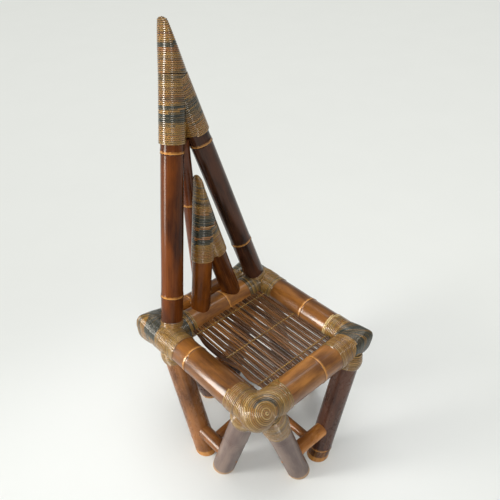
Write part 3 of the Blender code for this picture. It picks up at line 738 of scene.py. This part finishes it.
def wind(name, skin, first, last, tone_at, nodes, seed, opening=0.0, points=TURN_POINTS, lift=0.0, vary=0.20):
    """One unbroken cane wound over a skin from one distance to another, each turn a little off its tone."""
    size = sizes()
    turns = max(abs(last - first) / size.cane_pitch, 1.0)
    count = round(turns * points)
    rows = [(opening + math.tau * step / points, first + (last - first) * step / count)
            for step in range(count + 1)]
    path = surface_path(skin, rows, lift)
    chance = random.Random(seed)
    turn_tones = [(chance.uniform(-1, 1), chance.uniform(-1, 1)) for _ in range(int(turns) + 3)]
    tones = []
    for step, (_, distance) in enumerate(rows):
        turn, share = divmod(step / points, 1)
        share = clamp((share - 0.8) / 0.2)
        now, then = turn_tones[int(turn)], turn_tones[int(turn) + 1]
        shift = [a + (b - a) * share for a, b in zip(now, then)]
        tone, warm = tone_at(distance, path[step][0])
        tones.append((clamp(tone + shift[0] * vary), clamp(warm + shift[1] * 0.35)))
    lay_strand(name, path, size.cane_pitch * TURN_OVERLAP, size.cane_high, tones, seed * 0.37, nodes)


# where the cane lies; distances along a side rail are from the axis of the front rail

SIDE_FRONT_STOP = 0.116   # front windings of the side rails stop this far before the seat middle
SIDE_REAR_START = 0.122   # rear windings start this far behind it
FRONT_STOP, REAR_STOP = 0.10, 0.112   # windings of the front and rear rails, from the seat middle
BASE_COLLAR = (0.030, 0.051)   # along a tall post
COLLAR_LOW = {("front", "left"): 0.2875, ("left", "front"): 0.336, ("left", "rear"): 0.335,
              ("front", "right"): 0.340}   # lower edge of a leg's collar, from the floor
PLAIN_COLLAR_LOW = 0.315
COLLAR_SWELL = 0.004
SHOULDER = 0.022   # rounded run of a collar over the end of its leg
COIL_SPAN = (0.001, 0.085)
COIL_AXIS = Vector((0.078, -0.739, 0.669)).normalized()
COIL_PAD = 0.004
ELBOW_BEND = 0.008   # rounding of a corner's outer point
ELBOW_FULL = {"front": 0.55, "rear": 0.42}   # how square an elbow gets at its middle
ELBOW_CUT = (0.47, 0.036)   # the front elbow draws in by this share below this height over the rail axis
REAR_PAST = 0.036   # rear elbows run this far along the second rear rail
SLING = 0.026   # drop of the rear windings on their lower outer side
LASHES = 6   # crossed pairs on each side rail
LASH_STEPS = 14
LASH_FIRST, LASH_SPAN = 0.160, 0.030   # first pair behind the seat middle, and from it to the last one
LASH_START, LASH_ARC = 28, 72   # from the top of the rail outward, and round it from there, in degrees
LASH_SLANT = 0.022
LASH_CANE = (0.0030, 0.0014)   # width and height
PEAK_DROPS = {"tall": (0.183, 0.177), "small": (0.120, 0.115)}   # below a peak, on its left and right posts
RIGHT_START = 0.014   # windings of the right posts start this far below the left ones
PEAK_VARY = 0.13   # turns of the peaks differ less in tone
DYED = 0.76
PEAK_TONE = (0.50, 0.4)
PEAK_BANDS = {   # height from the place where the posts meet: low, high, tone, warmth
    "tall_left": ((0.069, 0.080, DYED, 0.0), (-0.013, 0.008, 0.64, 0.0), (-0.088, -0.074, DYED, 0.0),
                  (-0.095, -0.088, 0.32, 0.3), (-0.130, -0.095, 0.78, 0.0), (-0.179, -0.130, 0.40, 0.15),
                  (-0.30, -0.179, 0.24, 0.1)),
    "tall_right": ((-0.120, -0.070, 0.68, 0.1), (-0.145, -0.120, 0.5, 0.2), (-0.30, -0.145, 0.38, 0.3)),
    "small_left": ((0.050, 0.30, 0.58, 0.3), (0.0, 0.036, 0.88, 0.0), (-0.010, 0.0, 0.30, 0.9),
                   (-0.033, -0.010, 0.92, 0.0), (-0.042, -0.033, 0.30, 0.9), (-0.058, -0.042, 0.92, 0.0),
                   (-0.30, -0.058, 0.36, 0.35)),
    "small_right": ((-0.035, 0.02, 0.7, 0.2), (-0.30, -0.035, 0.42, 0.3)),
}


def plain(tone, warm):
    return lambda distance, place: (tone, warm)


def banded(spire, bands):
    """Tone by height on a spire."""
    def tone_at(distance, place):
        height = (place - spire.meet).dot(spire.up)
        for low, high, tone, warmth in bands:
            if low <= height < high:
                return tone, warmth
        return PEAK_TONE
    return tone_at


def rear_tone(hand):
    """Brown at the tip of a rear corner, dyed dark on top behind the post, tan along the rail."""
    tip = corner_points(hand, "rear")[1]
    height = sizes().rail_height

    def tone_at(distance, place):
        gap = math.hypot(place.x - tip.x, place.y - tip.y)
        if gap < 0.045:
            return 0.52, 0.2
        if gap < 0.100:
            return (0.88, 0.0) if place.z > height else (0.5, 0.1)
        return 0.43, 0.05
    return tone_at


def front_tone(hand, last):
    """Tan turns near the front of a side rail; the right rail's end in two pale ones."""
    pale_from = last - 2 * sizes().cane_pitch if hand == "right" else last + 1
    return lambda distance, place: (0.0, 0.0) if distance > pale_from else (0.38, 0.15)


def elbow_tone(span):
    """Dyed turns round the point of a front corner, tan ones where it runs out on the rails."""
    return lambda distance, place: (0.38, 0.2) if min(distance, span - distance) < 0.016 else (0.82, 0.3)


def coil_centre():
    size = sizes()
    return Vector((-size.seat_width / 2, -size.seat_depth / 2, size.rail_height)) + SEAT_MIDDLE


def coil_tone(distance, place):
    """Warm middle of the front coil, with dyed turns over its inner side."""
    if distance < 0.034:
        return 0.24, 0.4
    inward = (place - coil_centre()).dot(Vector((0.83, 0.27, 0.48)))
    return (0.66, 0.0) if distance < 0.056 and inward > 0.004 else (0.38, 0.1)


def coil_skin():
    """Front end of the left rail and the rails beside it, wound about a line that points forward and up."""
    size = sizes()
    centre = coil_centre()
    aside = (Vector((1, 0, 0)) - COIL_AXIS * COIL_AXIS.x).normalized()
    down = COIL_AXIS.cross(aside)
    wrapped = size.rail_radius + size.cane_high + 0.0008

    def reach(bend, out):
        ray = COIL_AXIS * math.cos(bend) + out * math.sin(bend)
        far = size.rail_radius + COIL_PAD
        for along in (ray.x, ray.y):
            if along > 0:
                far = max(far, wrapped / math.sqrt(max(1 - along * along, 0.05)))
        return ray * far

    def skin(angle, distance):
        out = aside * math.cos(angle) + down * math.sin(angle)
        bend = run = 0.0
        here = reach(0.0, out)
        while True:
            bend += 0.03
            then = reach(bend, out)
            piece = (then - here).length
            if run + piece >= distance:
                return centre + here.lerp(then, (distance - run) / piece), centre
            run += piece
            here = then
    return skin


def collar_skin(pole, low):
    """Skin of a leg that swells by a second layer of cane and closes over the leg's end."""
    def skin(angle, distance):
        place, core = pole.skin(angle, distance)
        share = clamp((distance - low) / max(pole.length - low, 1e-6))
        past = min(0.99, max(0.0, (distance - pole.length) / SHOULDER))
        wide = pole.radius + COLLAR_SWELL * math.sin(math.pi * share) + EASE
        return core + (place - core).normalized() * wide * math.sqrt(1 - past * past), core
    return skin


def slung_skin(rail, side, first):
    """Skin of a side rail whose winding hangs fuller on its lower outer side."""
    def skin(angle, distance):
        place, core = rail.skin(angle, distance)
        out = (place - core) / rail.radius
        share = clamp((distance - first) / 0.040)
        place.z -= SLING * share * max(0.0, -out.z) * math.sqrt(max(0.0, out.x * side))
        return place, core
    return skin


def corner_skin(hand, end):
    """Corner whose turns fan round its inner point from one rail to the other, and its length outside."""
    size = sizes()
    side, ahead, bend = HANDS[hand], ENDS[end], ELBOW_BEND
    cross = size.prop_rail_radius if end == "rear" else size.rail_radius
    inner, outer = corner_points(hand, end)
    deep = abs(outer.y - inner.y) - bend
    arc = bend * math.pi / 2
    turned = deep + arc + abs(outer.x - inner.x) - bend

    def skin(angle, distance):
        inside = inner.copy()
        if distance < deep:
            reach = Vector((outer.x, inner.y + ahead * distance, inner.z))
        elif distance < deep + arc:
            turn = (distance - deep) / bend
            reach = outer - Vector((side * (1 - math.cos(turn)), ahead * (1 - math.sin(turn)), 0)) * bend
        else:
            reach = outer - Vector((side * (bend + distance - deep - arc), 0, 0))
            inside.x -= side * max(0.0, distance - turned)
        high = size.rail_radius + (cross - size.rail_radius) * clamp((distance - deep) / (turned - deep))
        core = (inside + reach) / 2
        across, lift = math.cos(angle), math.sin(angle)
        share = clamp(distance / turned)
        if across > 0 and (lift > 0 or end == "rear"):
            fuller = 1 - ELBOW_FULL[end] * math.sin(math.pi * share)
            across, lift = across ** fuller, math.copysign(abs(lift) ** fuller, lift)
        place = core + (reach - inside) / 2 * across + UP * high * lift
        if end == "rear" and across > 0 and lift < 0:
            place.z -= SLING * math.cos(math.pi / 2 * share) * -lift * math.sqrt(across)
        if end == "front":
            slope, height = ELBOW_CUT
            place.x -= side * max(0.0, across) * slope * max(0.0, size.rail_height + height - place.z)
        return place, core
    return skin, turned


def lash(hand, rail):
    """Short strands crossed in pairs over the rear winding of a side rail."""
    size = sizes()
    for strand in range(LASHES):
        share = strand / (LASHES - 1)
        middle = size.seat_depth / 2 + LASH_FIRST + LASH_SPAN * share
        for way in (-1, 1):
            rows = []
            for step in range(LASH_STEPS + 1):
                run = step / LASH_STEPS
                angle = math.radians(90 + HANDS[hand] * (LASH_START + LASH_ARC * run))
                rows.append((angle, middle + way * LASH_SLANT * (run - 0.5)))
            lay_strand("cane_lash_%s_%d%s" % (hand, strand + 1, "ab"[way > 0]),
                       surface_path(rail.skin, rows, size.cane_high), *LASH_CANE,
                       [(0.30 + 0.2 * share, 0.1)] * len(rows), strand + 3.0 * way)


# seat

SLAT_BREADTH = 0.93   # of the pitch
SLAT_BEVEL = 0.42   # of the thickness
PAIR_SHIFT = 0.0009   # slats lean together in pairs
SLACK = ((0.014, 0.23, 0.46, 4), (0.008, -0.585, 0.16, 2))   # outer slat's bulges: size, place, reach, form
SLACK_SHARES = (0.3, 0.15)   # of the bulges, in the first two slats
TIE_ROWS = 3
TIE_CANE = (0.0038, 0.0018)   # width and height
TIE_WEAVE = 0.0011   # the two canes of a row pass each other by this much on either side


def slat_pitch():
    size = sizes()
    return (size.mat_right - size.mat_left) / (size.slats - 0.20)


def slat_blank(wide):
    """One slat at the origin: a bar with soft edges and a rounded top."""
    size = sizes()
    blank = begin("slat", bpy.ops.mesh.primitive_cube_add, size=1)
    blank.scale = (wide, 2 * size.mat_half, size.slat_thick)
    bpy.ops.object.transform_apply(location=False, rotation=False, scale=True)
    bisect([((0, step / 10 * size.mat_half, 0), (0, 1, 0)) for step in range(-9, 10)]
           + [((share * wide, 0, 0), (1, 0, 0)) for share in (-0.25, 0.0, 0.25)])
    for edge in blank.data.edges:
        ends = [blank.data.vertices[index].co for index in edge.vertices]
        outer = all(abs(point.z) > size.slat_thick * 0.4 and abs(point.x) > wide * 0.4 for point in ends)
        edge.select = outer and abs(ends[0].y - ends[1].y) > 1e-4
    bpy.ops.object.mode_set(mode="EDIT")
    bpy.ops.mesh.select_mode(type="EDGE")
    bpy.ops.mesh.bevel(offset=size.slat_thick * SLAT_BEVEL, segments=3, affect="EDGES")
    bpy.ops.mesh.select_mode(type="VERT")
    bpy.ops.object.mode_set(mode="OBJECT")
    for vertex in blank.data.vertices:
        if vertex.co.z > 0:
            vertex.co.z += size.slat_crown * (1 - (2 * vertex.co.x / wide) ** 2)
    return blank


def lay_slats():
    """The slats, copied from one and each set a little off true, with a painted highlight along one edge,
    strongest on the odd slats and fading out over the first slats on the left.
    """
    size = sizes()
    middle = size.rail_height + size.mat_rise
    pitch = slat_pitch()
    wide = pitch * SLAT_BREADTH
    blank = slat_blank(wide)
    chance = random.Random(5)
    copies, stalk, edges, seams = [], [], [], []
    for slat in range(size.slats):
        copy = blank.copy()
        copy.data = blank.data.copy()
        bpy.context.scene.collection.objects.link(copy)
        copies.append(copy)
        odd = slat % 2
        x = size.mat_left + wide / 2 + slat * pitch + (-PAIR_SHIFT if odd else PAIR_SHIFT)
        x += chance.uniform(-0.0004, 0.0004)
        breadth = chance.uniform(0.85, 0.92)
        # pale: strength of this slat's painted highlight, lower on even slats and fading out over the first
        # slats, at the left where the seat lies in shade.
        pale = chance.uniform(0.5, 1.0) * (1.0 if odd else 0.3) * min(1.0, slat / 7)
        sway = chance.uniform(-0.0005, 0.0005)
        phase = chance.uniform(0.0, math.tau)
        bow = chance.uniform(-0.0012, 0.0010)
        skew = chance.uniform(-0.0007, 0.0007)
        roll = chance.uniform(-0.10, 0.10)
        for vertex in copy.data.vertices:
            point = vertex.co
            run = point.y / size.mat_half
            stalk += [point.x + slat * 0.11, point.z, point.y * 0.3 + slat * 0.7]
            # Painted highlight on the slat's right-hand edge, carried in the ring mask.
            edges.append(pale if point.x > 0.36 * wide else 0.3 * pale if point.x > 0.2 * wide else 0.0)
            seams.append(0.9 if slat == 0 and abs(point.x) < 0.1 * wide else 0.0)
            aside = skew * run + sway * math.sin(2.6 * run + phase)
            if slat < len(SLACK_SHARES):
                share = 1.0 if slat == 0 and point.x < 0 else SLACK_SHARES[slat]
                aside -= share * sum(level * math.exp(-((run - place) / reach) ** power)
                                     for level, place, reach, power in SLACK)
            vertex.co = Vector((x + point.x * breadth + aside, point.y,
                                middle + point.z + bow * (1 - run * run) + roll * point.x)) + SEAT_MIDDLE
    bpy.data.objects.remove(blank, do_unlink=True)
    bpy.ops.object.select_all(action="DESELECT")
    for copy in copies:
        copy.select_set(True)
    bpy.context.view_layer.objects.active = copies[0]
    bpy.ops.object.join()
    slats = bpy.context.active_object
    slats.name = "seat_slats"
    set_values(slats, stalk=stalk, ring=edges, scar=seams, bare=[0.0] * len(seams))
    # The slats' ring colour is their painted highlight.
    stock = culm_material("split_slat", "slat", streak=1.2, coat=0.1, ring="slat_highlight")
    settle(slats, stock, ["seat_mat"])


def lay_ties():
    """Rows of paired cane that pass over and under the slats by turns."""
    size = sizes()
    pitch = slat_pitch()
    steps = size.slats * 10
    left = size.mat_left + (SLAT_BREADTH - 1) * pitch / 2
    swing = size.slat_thick / 2 + size.slat_crown * 0.9
    for row in range(TIE_ROWS):
        for turn, phase in (("over", 0.0), ("under", math.pi)):
            path = []
            for step in range(steps + 1):
                wave = math.pi * size.slats * step / steps + phase
                place = Vector((left + pitch * size.slats * step / steps,
                                (row - 1) * size.tie_pitch + TIE_WEAVE * math.cos(wave),
                                size.rail_height + size.mat_rise + swing * math.sin(wave)))
                path.append((place + SEAT_MIDDLE, UP))
            tones = [(0.46 + 0.1 * math.sin(step * 0.05 + row), 0.0) for step in range(steps + 1)]
            lay_strand("seat_tie_%d_%s" % (row + 1, turn), path, *TIE_CANE, tones, row + phase)


# operators

class BAMBOO_OT_rails(bpy.types.Operator):
    """Model the four seat rails and the second rear rail"""
    bl_idname = "bamboo.rails"
    bl_label = "Seat rails"

    def execute(self, context):
        lacquer = {"shine": 0.26, "coat": 0.55, "gloss": 0.22}
        stock = culm_material("culm_rail", "rail", **lacquer)
        pale = culm_material("culm_rail_pale", "pale", **lacquer)
        elbow = corner_points("right", "front")[0]
        cuts = {hand: [mitre(hand, 1)] for hand in HANDS}
        cuts["right"].append((elbow, (0, -1, 0)))
        cuts["front"] = [(elbow, (1, 0, 0))]
        cuts["prop"] = [mitre(hand, -1) for hand in HANDS]
        for seed, name in enumerate(RAIL_NODES, 1):
            make_culm("rail_" + name, rail_of(name), pale if name in ENDS else stock, seed,
                      cuts.get(name, ()))
        return {"FINISHED"}


class BAMBOO_OT_legs(bpy.types.Operator):
    """Model the eight legs, open at the foot"""
    bl_idname = "bamboo.legs"
    bl_label = "Legs"

    def execute(self, context):
        dark = culm_material("culm_leg", "leg")
        # The front legs' greyish material paints the floor's reflection into their colour.
        floor_sheen = culm_material("culm_leg_dusty", "floor_sheen", shine=0.34, gloss=0.5, ring="cut")
        warm = culm_material("culm_leg_warm", "warm", gloss=0.4)
        others = {("left", "front"): floor_sheen, ("front", "left"): floor_sheen, ("left", "rear"): warm}
        for seed, pair in enumerate(LEGS, 11):
            make_culm("leg_%s_%s" % pair, leg(*pair), others.get(pair, dark), seed)
        return {"FINISHED"}


class BAMBOO_OT_stretchers(bpy.types.Operator):
    """Model the four stretchers and the two cross poles"""
    bl_idname = "bamboo.stretchers"
    bl_label = "Stretchers"

    def execute(self, context):
        stock = culm_material("culm_brace", "brace")
        # Lighter copy of the stretchers' material for the front stretcher: painted light.
        fresh = culm_material("culm_brace_front", "front")
        for seed, side in enumerate(SIDES, 21):
            make_culm("stretcher_" + side, stretcher(side), fresh if side == "front" else stock,
                      seed)
        for seed, (way, sides) in enumerate((("widthwise", HANDS), ("lengthwise", ENDS)), 26):
            bars = [stretcher(side) for side in sides]
            start, end = (bar.at(bar.length / 2) - SEAT_MIDDLE for bar in bars)
            make_culm("cross_" + way, Culm(start, end, sizes().cross_radius, (CROSS_NODES[way],)), stock,
                      seed)
        return {"FINISHED"}


class BAMBOO_OT_posts(bpy.types.Operator):
    """Model the tall posts, the small posts and the prop"""
    bl_idname = "bamboo.posts"
    bl_label = "Posts and prop"

    def execute(self, context):
        size = sizes()
        red = culm_material("culm_post_red", "post", shine=0.15, gloss=0.15)
        brown = culm_material("culm_post_small", "small", shine=0.15, gloss=0.15)
        dusk = culm_material("culm_post_dusk", "dusk", shine=0.15, gloss=0.25)
        stocks = {"tall_left": red, "tall_right": dusk, "small_left": brown, "small_right": brown}
        for seed, (name, stock) in enumerate(stocks.items(), 31):
            kind, hand = name.split("_")
            spire = spire_of(kind)
            post = spire.post(HANDS[hand])
            span = spire.rise / math.cos(spire.slope) + spire.tip + spire.radius
            post.nodes = [share * span for share in POST_NODES[name]]
            post.ringed = 1.0 if kind == "tall" else 0.12
            make_culm("post_" + name, post, stock, seed, [((0, 0, 0), (-HANDS[hand], 0, 0))])
        spire = spire_of("tall")
        below, behind = PROP_TOP
        top = spire.meet - spire.up * below + spire.out * behind - SEAT_MIDDLE
        start = Vector((0, size.prop_rail_back + size.prop_setback, size.rail_height))
        pole = Culm(start, top, size.prop_radius, (PROP_NODE,))
        make_culm("prop_pole", pole, culm_material("culm_prop", "prop"), 40, name="culm_prop")
        return {"FINISHED"}


class BAMBOO_OT_seat(bpy.types.Operator):
    """Model the slats of the seat and the canes that tie them"""
    bl_idname = "bamboo.seat"
    bl_label = "Slats and ties"

    def execute(self, context):
        lay_slats()
        lay_ties()
        return {"FINISHED"}


class BAMBOO_OT_pegs(bpy.types.Operator):
    """Model the pegs that hold the stretchers in the legs"""
    bl_idname = "bamboo.pegs"
    bl_label = "Pegs"

    def execute(self, context):
        stock = culm_material("peg_dowel", "peg", shine=0.4, coat=0.0)
        radius = sizes().peg_radius
        for side, corner in LEGS:
            bar, pole = stretcher(side), leg(side, corner)
            first = corner in ("front", "left")
            middle, outward = (bar.start, -bar.direction) if first else (bar.end, bar.direction)
            span = pole.radius / math.sqrt(1 - pole.direction.dot(outward) ** 2)
            tail = middle - outward * (span + 0.016)
            head = middle + outward * (span + 0.0015)
            peg = Culm(tail - SEAT_MIDDLE, head - SEAT_MIDDLE, radius)
            line = [(0.0, 0.0), (radius * 0.9, 0.0), (radius, EASE)]
            line += [(radius * share, peg.length - drop)
                     for share, drop in ((1.0, 0.0016), (0.92, 0.0007), (0.6, 0.0001), (0.0, 0.0))]
            piece = spin_profile("peg_dowel_%s_%s" % (side, corner), line, PEG_STEPS)
            points = piece.data.vertices
            none = [0.0] * len(points)
            set_values(piece, stalk=[value for point in points for value in point.co], ring=none, scar=none,
                       bare=[0.4] * len(points))
            piece.matrix_world = Matrix.Translation(peg.start) @ peg.axes.to_4x4()
            settle(piece, stock, ["peg_%s_%s" % (side, corner)])
        return {"FINISHED"}


class BAMBOO_OT_peaks(bpy.types.Operator):
    """Wind the cane over both peaks and down the posts below them"""
    bl_idname = "bamboo.peaks"
    bl_label = "Peak bindings"

    def execute(self, context):
        for kind, seed in (("tall", 61), ("small", 71)):
            spire = spire_of(kind)
            wind("cane_peak_" + kind, spire.skin, 0.0, spire.top + spire.nose * math.pi / 2,
                 banded(spire, PEAK_BANDS[kind + "_left"]), ["wrap_peak_" + kind], seed, opening=math.pi / 2,
                 vary=PEAK_VARY)
            for place, (hand, side) in enumerate(HANDS.items()):
                name = "%s_%s" % (kind, hand)
                low = (spire.rise - PEAK_DROPS[kind][place]) / math.cos(spire.slope)
                high = (spire.rise - RIGHT_START * place) / math.cos(spire.slope)
                wind("cane_" + name, spire.post(side).skin, low, high, banded(spire, PEAK_BANDS[name]),
                     ["wrap_" + name], seed + 1 + place, lift=sizes().peak_pad, vary=PEAK_VARY)
        return {"FINISHED"}


class BAMBOO_OT_bindings(bpy.types.Operator):
    """Wind the cane round the rails, the corners and the leg tops"""
    bl_idname = "bamboo.bindings"
    bl_label = "Rail and leg bindings"

    def execute(self, context):
        size = sizes()
        thick = size.rail_radius
        stop, start = size.seat_depth / 2 - SIDE_FRONT_STOP, size.seat_depth / 2 + SIDE_REAR_START
        for seed, (hand, side) in enumerate(HANDS.items()):
            rail = rail_of(hand)
            wind("cane_side_front_" + hand, rail.skin, 0.0 if hand == "left" else thick, stop,
                 front_tone(hand, stop), ["wrap_side_front_" + hand], 81 + seed)
            wind("cane_side_rear_" + hand, slung_skin(rail, side, start), start, size.seat_depth + thick,
                 rear_tone(hand), ["wrap_side_rear_" + hand], 83 + seed)
            wind("cane_base_" + hand, spire_of("tall").post(side).skin, *BASE_COLLAR, plain(0.42, 0.2),
                 ["wrap_base_" + hand], 85 + seed)
            lash(hand, rail)
            skin, span = corner_skin(hand, "rear")
            wind("cane_corner_rear_" + hand, skin, 0.0, span + REAR_PAST, rear_tone(hand),
                 ["wrap_prop_" + hand], 89 + seed, points=ELBOW_POINTS)
        wind("cane_coil_front_left", coil_skin(), *COIL_SPAN, coil_tone, ["coil_front_left"], 87)
        skin, span = corner_skin("right", "front")
        wind("cane_corner_front_right", skin, 0.0, span, elbow_tone(span), ["coil_front_right"], 88,
             points=ELBOW_POINTS)
        front, rear = rail_of("front"), rail_of("rear")
        middle = front.length / 2
        for seed, (hand, side) in enumerate(HANDS.items()):
            outer = middle if hand == "left" else middle - thick
            wind("cane_front_" + hand, front.skin, middle + side * outer, middle + side * FRONT_STOP,
                 plain(0.38, 0.2), ["wrap_front_" + hand], 91 + seed)
            wind("cane_rear_" + hand, rear.skin, middle + side * middle, middle + side * REAR_STOP,
                 plain(0.62, 0.0), [], 93 + seed)
        for seed, pair in enumerate(LEGS, 95):
            pole = leg(*pair)
            low = COLLAR_LOW.get(pair, PLAIN_COLLAR_LOW) / pole.direction.z
            wind("cane_collar_%s_%s" % pair, collar_skin(pole, low), low, pole.length + SHOULDER * 0.9,
                 plain(0.38, 0.15), ["collar_%s_%s" % pair], seed)
        return {"FINISHED"}


# stage

FLOOR_SIZE = 24
FLOOR_GRAIN = 0.97   # darkest share of the floor's own colour
FLOOR_PLAIN = (0.2, 1.4, 0.06, 0.72)   # from and to this far out, this share of the floor is seen unlit
WORLD_COLOUR, WORLD_STRENGTH = (1.0, 0.97, 0.92, 1.0), 0.34
LAMPS = (   # name, place, aim, width, height, watts, spread in degrees, colour
    ("key", (-2.1, 0.9, 1.1), (0, 0, 0.6), 0.6, 1.6, 11.5, 65, (1.0, 0.95, 0.87)),
    ("front", (-2.7, -3.8, 3.8), (0, 0, 0.5), 1.8, 1.8, 10, 45, (1.0, 0.95, 0.87)),
    ("top", (1.0, 0.5, 8.0), (0, 0, 0.4), 5.6, 5.6, 310, 180, (1.0, 0.96, 0.90)))
CAMERA_ANGLES = (-40.965, 35.97, 1.855)   # turn, lift and roll, in degrees
CAMERA_AIM, CAMERA_BACK = Vector((0.0077, 0.0404, 0.7056)), 1.668
CAMERA_LENS, CAMERA_SENSOR = 42.58, 36.0   # mm


def floor_material():
    """Pale floor that keeps the shadow near the chair and turns to its plain colour farther out."""
    hues = colours()
    made, graph, shader = new_material("studio_floor", hues.floor)
    where = graph.add("TexCoord").outputs["Object"]
    grain = graph.noise(where, (3, 3, 3), 4)
    far, near = (graph.mix(grain, (*hue, 1.0), (*(value * FLOOR_GRAIN for value in hue), 1.0))
                 for hue in (hues.floor, hues.floor_near))
    for label, value in (("Base Color", near), ("Roughness", 0.9), ("Specular IOR Level", 0.1)):
        graph.join(value, shader.inputs[label])
    path = graph.add("LightPath").outputs
    seen = graph.calc("MAXIMUM", path["Is Camera Ray"], path["Is Glossy Ray"])
    seen = graph.calc("MAXIMUM", seen, path["Is Transmission Ray"])
    apart = graph.add("VectorMath", {0: where}, operation="LENGTH").outputs["Value"]
    share = graph.times(seen, graph.ramp(apart, *FLOOR_PLAIN))
    glow = graph.add("Emission", {"Color": far, "Strength": 1.0})
    mix = graph.add("MixShader", {0: share, 1: shader.outputs[0], 2: glow.outputs[0]})
    graph.join(mix.outputs[0], graph.tree.nodes["Material Output"].inputs["Surface"])
    return made


def add_object(name, data):
    item = bpy.data.objects.new(name, data)
    bpy.context.scene.collection.objects.link(item)
    return item


class BAMBOO_OT_stage(bpy.types.Operator):
    """Set the floor, the soft lights and the camera"""
    bl_idname = "bamboo.stage"
    bl_label = "Stage"

    def execute(self, context):
        scene = context.scene
        scene.view_settings.view_transform = "Standard"
        floor = begin("studio_floor", bpy.ops.mesh.primitive_plane_add, size=FLOOR_SIZE)
        floor.data.materials.append(floor_material())
        world = bpy.data.worlds.new("studio")
        world.use_nodes = True
        light = world.node_tree.nodes["Background"].inputs
        light["Color"].default_value = WORLD_COLOUR
        light["Strength"].default_value = WORLD_STRENGTH
        scene.world = world
        for name, place, aim, wide, tall, watts, spread, hue in LAMPS:
            lamp = assign(bpy.data.lights.new("studio_" + name, "AREA"), shape="RECTANGLE", size=wide,
                          size_y=tall, energy=watts, color=hue, spread=math.radians(spread))
            facing = (Vector(aim) - Vector(place)).to_track_quat("-Z", "Y").to_euler()
            assign(add_object("studio_" + name, lamp), location=place, rotation_euler=facing)
        eye = assign(bpy.data.cameras.new("studio_camera"), sensor_width=CAMERA_SENSOR, sensor_fit="AUTO",
                     lens=CAMERA_LENS)
        scene.camera = add_object("studio_camera", eye)
        turn, lift, roll = (math.radians(value) for value in CAMERA_ANGLES)
        axes = Matrix.Rotation(turn, 4, "Z") @ Matrix.Rotation(math.pi / 2 - lift, 4, "X")
        axes @= Matrix.Rotation(-roll, 4, "Z")
        place = CAMERA_AIM + SEAT_MIDDLE + axes.col[2].xyz * CAMERA_BACK
        scene.camera.matrix_world = Matrix.Translation(place) @ axes
        return {"FINISHED"}


OPERATORS = (BAMBOO_OT_rails, BAMBOO_OT_legs, BAMBOO_OT_stretchers, BAMBOO_OT_posts, BAMBOO_OT_seat,
             BAMBOO_OT_pegs, BAMBOO_OT_peaks, BAMBOO_OT_bindings, BAMBOO_OT_stage)


class BAMBOO_PT_chair(bpy.types.Panel):
    """Lists the pieces of the chair in the order in which they are made"""
    bl_idname = "BAMBOO_PT_chair"
    bl_label = "Bamboo chair"
    bl_space_type = "VIEW_3D"
    bl_region_type = "UI"
    bl_category = "Bamboo chair"

    def draw(self, context):
        for operator in OPERATORS:
            self.layout.operator(operator.bl_idname)
        for label, group in (("Sizes", sizes()), ("Colours", colours())):
            box = self.layout.box()
            box.label(text=label)
            for key in group.__annotations__:
                box.prop(group, key, text=key.replace("_", " ").capitalize())


CLASSES = (BAMBOO_PG_sizes, BAMBOO_PG_colours, BAMBOO_PG_chair) + OPERATORS + (BAMBOO_PT_chair,)


def register():
    for kind in CLASSES:
        bpy.utils.register_class(kind)
    bpy.types.Scene.bamboo_chair = PointerProperty(type=BAMBOO_PG_chair)


def unregister():
    del bpy.types.Scene.bamboo_chair
    for kind in reversed(CLASSES):
        bpy.utils.unregister_class(kind)


def main():
    register()
    for operator in OPERATORS:
        family, name = operator.bl_idname.split(".")
        getattr(getattr(bpy.ops, family), name)()


if __name__ == "__main__":
    main()
